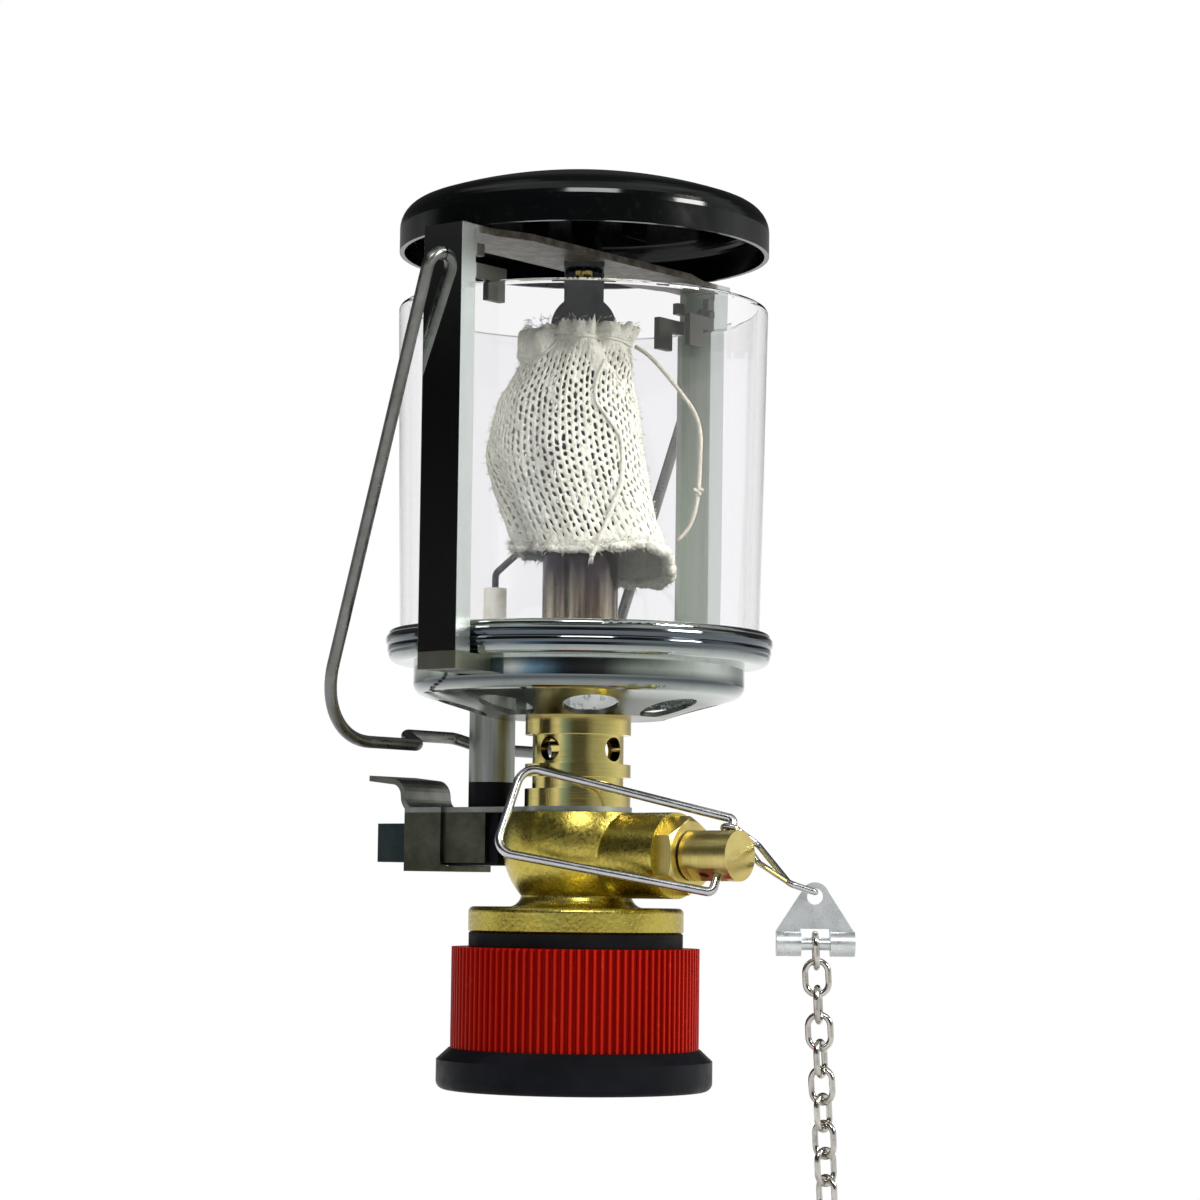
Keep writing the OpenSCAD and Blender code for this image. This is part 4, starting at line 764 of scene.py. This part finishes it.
def pan_plate():
    """Bright plating with wipe marks, painted dark reflections on the rim and the turned-in band, dull and
    stained below.
    """
    look = Look("pan_plate", (0.46, 0.5, 0.47), 0.12, 1.0)
    wipes = look.noise(90, 5, 0.65, look.stretched(1, 1, 0.25))
    specks = look.span(look.noise(420, 4), 0.5, 0.75, 0, 0.4)
    color = look.mix(specks, (0.475, 0.515, 0.485), (0.33, 0.355, 0.33))
    # painted reflection: the rim and the turned-in band are painted dark navy to stand for the dark room
    # that the chrome mirrors
    rim_painted_reflection = look.inside(look.z, LEDGE + 1 * MM, RIM_TOP - 0.2 * MM, ZONE_SOFT)
    color = look.mix(look.times(rim_painted_reflection, ZONE_SHARE), color, (0.075, 0.09, 0.11))
    band_painted_reflection = look.inside(look.z, BAND_LOW + 1 * MM, BAND_WALL, ZONE_SOFT)
    color = look.mix(look.times(band_painted_reflection, ZONE_SHARE), color, (0.045, 0.055, 0.066))
    under = look.span(look.z, BAND_LOW + 0.2 * MM, BAND_LOW - 1.2 * MM)
    stain = look.mix(look.span(look.round(), STAIN_IN, STAIN_OUT), (0.07, 0.06, 0.036), (0.17, 0.19, 0.165))
    look.set("Base Color", look.mix(look.times(under, ZONE_SHARE), color, stain))
    look.set("Roughness", look.plus(look.span(wipes, 0.35, 0.75, 0.07, 0.15), look.times(under, 0.14)))
    # the band's slight bulge and the rim's lean are too small for the solid, so they are in the bump
    off = look.math("SUBTRACT", look.span(look.z, BAND_LOW, LEDGE, BAND_LOW, LEDGE), BARREL_MIDDLE)
    barrel = look.times(look.times(off, off), -1 / (2 * BARREL_R))
    lean = look.span(look.z, LEDGE + 0.4 * MM, RIM_TOP, 0, -RIM_LEAN * (RIM_TOP - LEDGE))
    grain = look.times(look.noise(700, 3, 0.6, look.stretched(1, 1, 0.3)), 0.000006)
    look.bump(look.plus(look.plus(barrel, lean), grain), 1.0)
    return look.mat


# Frame: outer and inner faces of a post, where its web ends at the flanges, and the strap's underside
POST_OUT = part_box("frame")[1].y
POST_IN = POST_OUT - 3.5 * MM
POST_WEB = 4.05 * MM
STRAP_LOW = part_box("frame")[1].z - 1.2 * MM
TABS_LOW, TABS_HIGH = STRAP_LOW - 11.2 * MM, STRAP_LOW - 1.2 * MM


def frame_plate():
    """Plated strip: bright outside, satin on the flanges, satin and darker olive on the feet, milky inside,
    burnt on the strap, and near black on the tabs.
    """
    look = Look("frame_plate", (0.7, 0.72, 0.71), 0.15, 1.0)
    aside = look.math("ABSOLUTE", look.y)
    across = look.math("ABSOLUTE", look.x)
    inner = look.times(look.below(aside, POST_OUT - 0.5 * MM), look.below(across, POST_WEB, 2e-5))
    inner = look.times(inner, look.span(look.z, LEDGE + 0.7 * MM, LEDGE + 1.7 * MM))
    strap = look.times(look.span(look.z, STRAP_LOW - 0.7 * MM, STRAP_LOW - 0.1 * MM),
                       look.span(aside, POST_IN + 0.1 * MM, POST_IN - 0.9 * MM))
    tabs = look.times(look.inside(look.z, TABS_LOW, TABS_HIGH, 2e-4),
                      look.span(aside, POST_IN, POST_IN - 0.3 * MM))
    flange = look.above(across, POST_WEB, 2e-5)
    foot = look.span(look.z, LEDGE + 0.4 * MM, LEDGE + 0.1 * MM)

    wipes = look.noise(90, 5, 0.65, look.stretched(1, 1, 0.25))
    streak = look.span(look.noise(60, 4, 0.6, look.stretched(3, 3, 0.12)), 0.35, 0.7)
    specks = look.span(look.noise(420, 4), 0.55, 0.75, 0, 0.35)
    color = look.mix(specks, (0.74, 0.765, 0.75), (0.52, 0.54, 0.51))
    color = look.mix(flange, color, look.mix(streak, (0.60, 0.645, 0.62), (0.70, 0.74, 0.71)))
    color = look.mix(foot, color, look.mix(streak, (0.20, 0.20, 0.15), (0.32, 0.33, 0.27)))
    color = look.mix(inner, color, look.mix(streak, (0.32, 0.385, 0.30), (0.46, 0.53, 0.43)))
    color = look.mix(tabs, color, (0.045, 0.045, 0.034))
    scale = look.span(look.noise(330, 5, 0.7), 0.42, 0.66)
    burnt = look.mix(scale, (0.085, 0.074, 0.056), (0.21, 0.19, 0.155))
    rust = look.span(look.noise(700, 3), 0.62, 0.7, 0, 0.8)
    look.set("Base Color", look.mix(strap, color, look.mix(rust, burnt, (0.13, 0.06, 0.025))))

    worn = look.largest(inner, strap, tabs)
    satin = look.largest(flange, foot)
    look.set("Metallic", look.span(worn, 0, 1, 1.0, 0.35))
    shine = look.span(wipes, 0.35, 0.75, 0.035, 0.08)
    look.set("Roughness", look.largest(shine, look.times(worn, 0.45), look.times(satin, 0.26)))
    look.bump(look.noise(700, 3, 0.6, look.stretched(1, 1, 0.3)), 0.00002, 0.25)
    return look.mat


def clear_glass():
    """Clear glass with a slight ripple, which lets light through to what is inside it."""
    look = Look("clear_glass", (0.95, 0.945, 0.955), 0.0, IOR=1.47, Transmission_Weight=1.0)
    look.set("Roughness", look.span(look.noise(45, 4), 0.45, 0.8, 0.0, 0.02))
    look.bump(look.noise(24, 2), 0.00008, 0.12)
    clear = look.new("ShaderNodeBsdfTransparent")
    clear.inputs["Color"].default_value = (0.94, 0.94, 0.945, 1)
    look.blend_shader(look.rays("Shadow"), clear)
    return look.mat


def wire_steel(name, color, dark, rough, scratch=0.00003, metal=1.0):
    """Drawn or pressed steel with dull smears and fine scratches."""
    look = Look(name, color, rough, metal)
    smear = look.noise(240, 4, 0.65)
    look.set("Base Color", look.mix(look.span(smear, 0.42, 0.72), color, dark))
    look.set("Roughness", look.span(look.noise(520, 3), 0.3, 0.75, rough * 0.7, rough * 1.5))
    look.bump(look.noise(1400, 2), scratch, 0.25)
    return look.mat


def turned_brass(name, stretch, rough, marks=0.000012):
    """Brass with fine turning marks; stretch draws the marks out round the axis of the piece."""
    look = Look(name, (0.6, 0.48, 0.16), 0.2, 1.0)
    rings = look.noise(5200, 3, 0.7, look.stretched(*stretch))
    stain = look.noise(160, 4, 0.6)
    pale = look.mix(look.span(stain, 0.35, 0.7), (0.68, 0.57, 0.215), (0.58, 0.465, 0.155))
    look.set("Base Color", look.mix(look.span(rings, 0.5, 0.8, 0, 0.5), pale, (0.34, 0.255, 0.085)))
    look.set("Roughness", look.span(rings, 0.3, 0.75, rough, rough * 1.7))
    look.bump(rings, marks, 0.3)
    return look.mat


def cast_brass():
    """Tumbled casting: a granular, pitted skin with stains."""
    look = Look("cast_brass", (0.55, 0.44, 0.1), 0.3, 1.0)
    grain = look.noise(1500, 4, 0.7)
    cell = look.new("ShaderNodeTexVoronoi")
    look.feed(cell, "Vector", look.at)
    cell.inputs["Scale"].default_value = 1250
    stain = look.noise(75, 4, 0.6)
    color = look.mix(look.span(stain, 0.35, 0.7), (0.55, 0.455, 0.10), (0.48, 0.385, 0.072))
    look.set("Base Color", look.mix(look.span(grain, 0.55, 0.72, 0, 0.55), color, (0.30, 0.225, 0.035)))
    look.set("Roughness", look.span(grain, 0.35, 0.7, 0.2, 0.4))
    look.bump(look.plus(grain, look.times(cell.outputs["Distance"], 0.5)), 0.00009, 0.5)
    return look.mat


def moulded(name, color, pale, rough, grain=900, depth=0.00003):
    """Moulded plastic or rubber with a grained, unevenly faded skin."""
    look = Look(name, color, rough, Specular_IOR_Level=0.08)
    look.set("Base Color", look.mix(look.span(look.noise(140, 4, 0.6), 0.4, 0.75), color, pale))
    look.set("Roughness", look.span(look.noise(310, 4), 0.3, 0.75, rough * 0.8, rough * 1.25))
    look.bump(look.noise(grain, 3), depth, 0.5)
    return look.mat


# Grip ring: radii and number of its flutes, and the painted highlight line on each crest as a share of the
# pitch
FLUTE_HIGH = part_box("grip_ring")[1].x
FLUTE_LOW = FLUTE_HIGH - 0.5 * MM
FLUTES = 100
CREST_LOW, CREST_HIGH, CREST_SOFT = 0.17, 0.33, 0.08


def red_grip():
    """Red lacquer with painted shade deeper in the flutes, a painted highlight line along each crest, and
    crests rubbed paler here and there.
    """
    look = Look("red_grip", (0.38, 0.014, 0.006), 0.45, Specular_IOR_Level=0.05)
    depth = look.span(look.round(), FLUTE_LOW, FLUTE_HIGH)
    streak = look.noise(130, 4, 0.65, look.stretched(1, 1, 0.35))
    turn = look.times(look.math("ARCTAN2", look.y, look.x), FLUTES / math.tau)
    # painted highlight: a paler line on every crest; painted shade: the flutes darken towards their roots
    line = look.inside(look.math("FRACT", turn), CREST_LOW, CREST_HIGH, CREST_SOFT)
    crest_highlight = look.mix(look.span(streak, 0.4, 0.72), (0.45, 0.018, 0.006), (0.51, 0.03, 0.011))
    flute_shade = look.mix(depth, (0.24, 0.0018, 0.0005), (0.35, 0.005, 0.001))
    rub = look.times(look.span(look.noise(420, 4, 0.7), 0.62, 0.72, 0, 0.3), depth)
    look.set("Base Color", look.mix(rub, look.mix(line, flute_shade, crest_highlight), (0.50, 0.07, 0.03)))
    look.set("Roughness", look.span(streak, 0.3, 0.75, 0.32, 0.5))
    look.bump(look.noise(1100, 3), 0.00003, 0.4)
    return look.mat


# Burner: heights between which its heat stain grows to full, and how far a streak shifts them
BURNER_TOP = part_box("burner_tube")[1].z
HEAT_LOW, HEAT_HIGH = BURNER_TOP - 16.3 * MM, BURNER_TOP - 1.3 * MM
HEAT_STREAK = 14 * MM


def burner_steel():
    """Steel browned by heat, darkest at the mouth, with streaks down the tube."""
    look = Look("burner_steel", (0.3, 0.24, 0.16), 0.28, 1.0)
    streak = look.noise(300, 4, 0.65, look.stretched(1, 1, 0.05))
    spots = look.noise(520, 4, 0.7)
    rise = look.span(look.plus(look.z, look.times(streak, HEAT_STREAK)), HEAT_LOW, HEAT_HIGH)
    low = look.mix(look.span(streak, 0.42, 0.58), (0.62, 0.56, 0.42), (0.12, 0.075, 0.03))
    color = look.mix(rise, low, (0.030, 0.024, 0.028))
    look.set("Base Color", look.mix(look.span(spots, 0.6, 0.72, 0, 0.6), color, (0.10, 0.055, 0.022)))
    look.set("Roughness", look.span(spots, 0.3, 0.75, 0.14, 0.3))
    look.bump(streak, 0.00003, 0.3)
    return look.mat


# Height of the igniter bracket's plate, on which the neck stands
BRACKET_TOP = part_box("neck")[0].z


def bracket_steel():
    """Pressed steel: the plate is pale, the finger rest darker, and the clip and side plates below the
    plate dark.
    """
    look = Look("bracket_steel", (0.1, 0.1, 0.09), 0.38, 1.0)
    top = look.span(look.z, BRACKET_TOP - 1 * MM, BRACKET_TOP - 0.8 * MM)
    bent = look.span(look.z, BRACKET_TOP + 0.3 * MM, BRACKET_TOP + 1.3 * MM)
    smear = look.noise(150, 4, 0.6)
    dark = look.mix(look.span(smear, 0.4, 0.7), (0.065, 0.068, 0.046), (0.125, 0.13, 0.10))
    plate = look.mix(look.span(smear, 0.35, 0.7), (0.34, 0.36, 0.34), (0.20, 0.21, 0.19))
    rest = look.mix(look.span(smear, 0.35, 0.7), (0.13, 0.135, 0.11), (0.26, 0.265, 0.24))
    look.set("Base Color", look.mix(bent, look.mix(top, dark, plate), rest))
    look.set("Roughness", look.span(look.noise(380, 4), 0.3, 0.75, 0.28, 0.5))
    look.bump(look.noise(800, 3), 0.00004, 0.5)
    return look.mat


def satin_tube():
    """Brushed tube with its grain along it."""
    look = Look("satin_tube", (0.3, 0.32, 0.29), 0.34, 0.9)
    grain = look.noise(900, 3, 0.6, look.stretched(1, 1, 0.03))
    look.set("Base Color", look.mix(look.span(grain, 0.3, 0.75), (0.37, 0.39, 0.355), (0.23, 0.245, 0.22)))
    look.set("Roughness", look.span(grain, 0.3, 0.75, 0.28, 0.44))
    look.bump(grain, 0.00003, 0.4)
    return look.mat


def ceramic():
    """Glazed ceramic with brown stains."""
    look = Look("ceramic", (0.78, 0.74, 0.64), 0.28)
    stain = look.noise(260, 4, 0.6)
    look.set("Base Color", look.mix(look.span(stain, 0.42, 0.72), (0.80, 0.78, 0.70), (0.58, 0.52, 0.40)))
    look.set("Roughness", look.span(stain, 0.3, 0.7, 0.2, 0.4))
    look.bump(look.noise(1200, 2), 0.00003, 0.4)
    return look.mat


# Half widths of the mantle's inside that are fully and no longer darkened by painted shade
SHADE_FULL, SHADE_END = 3.5 * MM, 9.5 * MM


def cloth(name, color, shade, middle_shade=None):
    """Fine knitted yarn; a third colour, when given, is painted shade over the middle of the face, as seen
    from the side the lantern faces.
    """
    look = Look(name, color, 0.95, Specular_IOR_Level=0.1)
    yarn = look.noise(2600, 3, 0.7, look.stretched(1, 1, 0.45))
    loops = look.noise(950, 2, 0.6)
    patch = look.noise(190, 4, 0.6)
    mixed = look.mix(look.span(yarn, 0.38, 0.66), color, shade)
    mixed = look.mix(look.span(loops, 0.48, 0.7, 0, 0.6), mixed, shade)
    mixed = look.mix(look.span(patch, 0.4, 0.75, 0, 0.5), mixed, shade)
    # painted shade: darkest in a band down the middle, where the holes at the front look through to the
    # inside
    if middle_shade:
        sideways = look.math("ABSOLUTE", look.dot(look.at, RIGHT))
        mixed = look.mix(look.span(sideways, SHADE_FULL, SHADE_END, 1, 0), mixed, middle_shade)
    look.set("Base Color", mixed)
    look.bump(look.plus(yarn, loops), 0.0003, 0.8)
    return look.mat


cloth_outside = cloth("mantle_cloth", (0.72, 0.715, 0.63), (0.52, 0.515, 0.44))
# painted shade: the inside is darker than the outside all over, so that it reads as shaded through the
# holes
cloth_inside = cloth("shaded_mantle_inside", (0.55, 0.54, 0.47), (0.42, 0.41, 0.35), (0.14, 0.15, 0.18))
cotton = cloth("string_cotton", (0.56, 0.53, 0.45), (0.40, 0.37, 0.30))

steel_key = wire_steel("key_steel", (0.58, 0.58, 0.585), (0.48, 0.48, 0.475), 0.2, 0.000006)
steel_plate = wire_steel("plate_steel", (0.70, 0.73, 0.735), (0.58, 0.605, 0.61), 0.3, metal=0.7)
steel_chain = wire_steel("chain_nickel", (0.60, 0.58, 0.53), (0.38, 0.365, 0.33), 0.18)
steel_bail = wire_steel("bail_steel", (0.20, 0.205, 0.195), (0.14, 0.142, 0.125), 0.3, 0.00004)
steel_dark = wire_steel("dark_steel", (0.085, 0.095, 0.10), (0.042, 0.045, 0.05), 0.4, 0.00006)
gloss = black_gloss()
brass_z = turned_brass("turned_brass_upright", (0.02, 0.02, 1), 0.1)
brass_x = turned_brass("turned_brass_level", (1, 0.02, 0.02), 0.26, 0.000004)
black_plastic = moulded("black_plastic", (0.0045, 0.005, 0.007), (0.009, 0.0098, 0.013), 0.42)
rubber = moulded("black_rubber", (0.007, 0.007, 0.0075), (0.014, 0.014, 0.0148), 0.62, 1300, 0.00005)
slate = moulded("button_plastic", (0.022, 0.034, 0.036), (0.04, 0.054, 0.056), 0.42)
burner = burner_steel()

LOOKS = {
    "foot_ring": black_plastic, "grip_ring": red_grip(), "thread_hub": brass_z,
    "flange_washer": rubber, "valve_body": cast_brass(), "inlet_oring": rubber,
    "depressor_pin": brass_z, "retaining_clip": steel_key, "gland_nut": brass_x,
    "spindle_oring": rubber, "valve_spindle": brass_x, "valve_key": steel_key,
    "chain_link_wire": steel_key, "chain_plate": steel_plate, "chain_pin": steel_plate,
    "chain": steel_chain, "chain_hook": steel_chain, "gas_jet": brass_z, "neck": brass_z,
    "igniter_bracket": bracket_steel(), "piezo_unit": black_plastic, "piezo_button": slate,
    "igniter_sleeve": black_plastic, "igniter_tube": satin_tube(), "ignition_lead": black_plastic,
    "ceramic_insulator": ceramic(), "electrode": steel_dark, "pan": pan_plate(),
    "burner_nut": steel_plate, "burner_tube": burner, "burner_gauze": burner,
    "mantle": cloth_outside, "mantle_holder": steel_dark, "mantle_string": cloth_outside,
    "glass_globe": clear_glass(), "frame": frame_plate(), "bail": steel_bail, "cap_spacer": gloss,
    "cap_stud": brass_z, "cap_spider": gloss, "star_washer": gloss, "hood": gloss,
}
for name, obj in nodes.items():
    obj.data.materials.clear()
    obj.data.materials.append(LOOKS[name])
for piece in (string, knot):
    piece.data.materials.append(cotton)

mantle = make_mantle()
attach(mantle, "lantern")
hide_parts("mantle")

# Floor: its radius and gap below the lantern, and the ring over which it fades to the white background
FLOOR_R, FLOOR_GAP = 6, 0.0004
FADE_START, FADE_END = 0.05, 0.11


def make_floor():
    """A pale matte disc that keeps the lantern's shadow, and is plain white further out."""
    bm = bmesh.new()
    bmesh.ops.create_circle(bm, cap_ends=True, segments=96, radius=FLOOR_R)
    floor = new_object("floor", bm)
    floor.location = (0, 0, cad_box[0].z - FLOOR_GAP)
    look = Look("floor", (0.82, 0.82, 0.81), 0.9, Specular_IOR_Level=0.1)
    far = look.span(look.round(), FADE_START, FADE_END, kind="SMOOTHSTEP")
    white = look.new("ShaderNodeEmission")
    look.blend_shader(look.times(far, look.rays("Camera", "Transmission", "Glossy")), white)
    floor.data.materials.append(look.mat)


# What shiny surfaces mirror, at four heights: angle from the camera's side, brightness and tint; the
# white backdrop is at 180 degrees
GREY, BLUE, GREEN = (1, 1, 1), (0.42, 0.68, 1.0), (0.93, 1.0, 0.90)
LEVEL_STOPS = [
    (-180, 1.0, GREY), (-167, 1.0, GREY), (-158, 0.45, GREY), (-126, 0.5, GREEN), (-112, 0.9, GREEN),
    (-96, 0.75, GREY), (-91, 0.01, GREY), (-65, 0.01, GREY), (-60, 0.5, GREY), (-46, 1.0, GREY),
    (-34, 0.75, BLUE), (-24, 0.4, BLUE), (-12, 0.06, BLUE), (-2, 0.03, GREY), (16, 0.04, GREY),
    (36, 0.42, GREEN), (60, 0.55, GREEN), (85, 0.8, GREEN), (104, 1.0, GREY), (122, 0.8, GREY),
    (140, 0.45, GREY), (158, 0.42, GREY), (167, 1.0, GREY), (180, 1.0, GREY),
]
RAISED_STOPS = [
    (-180, 0.4, GREY), (-158, 0.3, GREY), (-126, 0.4, GREY), (-118, 0.7, GREEN), (-108, 0.4, GREY),
    (-100, 0.004, GREY), (-20, 0.006, GREY), (20, 0.02, GREY), (40, 0.10, GREEN), (60, 0.25, GREEN),
    (85, 0.7, GREY), (95, 1.0, GREY), (108, 1.0, GREY), (122, 0.7, GREY), (140, 0.4, GREY),
    (158, 0.3, GREY), (180, 0.4, GREY),
]
HIGH_STOPS = [
    (-180, 0.045, GREY), (80, 0.045, GREY), (92, 0.5, GREY), (112, 0.5, GREY), (124, 0.045, GREY),
    (180, 0.045, GREY),
]
OVERHEAD_STOPS = [
    (-180, 0.05, GREY), (-130, 0.05, GREY), (-95, 0.8, GREY), (95, 0.8, GREY), (130, 0.05, GREY),
    (180, 0.05, GREY),
]
# Each height gives way to the next between two rises of a ray, where 1 is straight up
TO_RAISED, TO_HIGH, TO_OVERHEAD, TO_ZENITH = (0.08, 0.15), (0.15, 0.26), (0.68, 0.78), (0.94, 0.98)
ZENITH, AMBIENT, WHITE = (0.1, 0.1, 0.1), (0.16, 0.16, 0.16), (1, 1, 1)


def make_world():
    """White behind the lantern, even dim light, and a studio with pale sides for the metal to mirror."""
    scene.world = bpy.data.worlds.new("studio")
    scene.world.use_nodes = True
    sky = Nodes(scene.world.node_tree)
    sky.tree.nodes.clear()
    way = sky.new("ShaderNodeTexCoord").outputs["Generated"]
    rise = sky.dot(way, (0, 0, 1))
    turn = sky.math("ARCTAN2", sky.dot(way, RIGHT), sky.dot(way, TOWARD))
    place = sky.span(turn, -math.pi, math.pi)

    def ramp(stops):
        """Colour round the lantern at one height."""
        node = sky.new("ShaderNodeValToRGB")
        while len(node.color_ramp.elements) < len(stops):
            node.color_ramp.elements.new(0.5)
        for element, (angle, value, tint) in zip(node.color_ramp.elements, stops):
            element.position = (angle + 180) / 360
            element.color = (*(value * part for part in tint), 1)
        sky.feed(node, 0, place)
        return node.outputs[0]

    def by_rise(limits, below, above):
        """Mix of two colours by how steeply a ray rises."""
        return sky.mix(sky.span(rise, *limits, kind="SMOOTHSTEP"), below, above)

    studio = by_rise(TO_RAISED, ramp(LEVEL_STOPS), ramp(RAISED_STOPS))
    studio = by_rise(TO_HIGH, studio, ramp(HIGH_STOPS))
    studio = by_rise(TO_OVERHEAD, studio, ramp(OVERHEAD_STOPS))
    studio = by_rise(TO_ZENITH, studio, ZENITH)
    light = sky.mix(sky.rays("Glossy"), AMBIENT, studio)
    back = sky.new("ShaderNodeBackground")
    sky.feed(back, "Color", sky.mix(sky.rays("Camera", "Transmission"), light, WHITE))
    sky.feed(sky.new("ShaderNodeOutputWorld"), "Surface", back.outputs[0])


# Lamps: angle from the camera's side and height in degrees, width and height in metres, power, colour,
# and whether metal mirrors it; all stand at one distance from what they aim at
LAMPS = {
    "key": (68, 27, (0.3, 0.22), 6.8, (1.0, 0.985, 0.95), True),
    "front": (5, 41, (0.42, 0.12), 2.5, (0.97, 0.985, 1.0), True),
    "fill": (-40, 32, (0.3, 0.3), 1.5, (0.96, 0.98, 1.0), False),
}
LAMP_AWAY = 0.9
LAMP_AIM = Vector((0, 0, 0.08))


def add_lamp(name, azimuth, elevation, size, power, color, mirrored):
    """A soft box that the camera doesn't see."""
    data = bpy.data.lights.new(name, "AREA")
    data.shape = "RECTANGLE"
    data.size, data.size_y = size
    data.energy = power
    data.color = color
    lamp = bpy.data.objects.new(name, data)
    scene.collection.objects.link(lamp)
    a = FACE + math.radians(azimuth)
    e = math.radians(elevation)
    way = Vector((math.sin(a) * math.cos(e), -math.cos(a) * math.cos(e), math.sin(e)))
    lamp.location = LAMP_AIM + way * LAMP_AWAY
    lamp.rotation_euler = (-way).to_track_quat("-Z", "Y").to_euler()
    lamp.visible_camera = False
    lamp.visible_glossy = mirrored


make_floor()
make_world()
for name, settings in LAMPS.items():
    add_lamp(name, *settings)
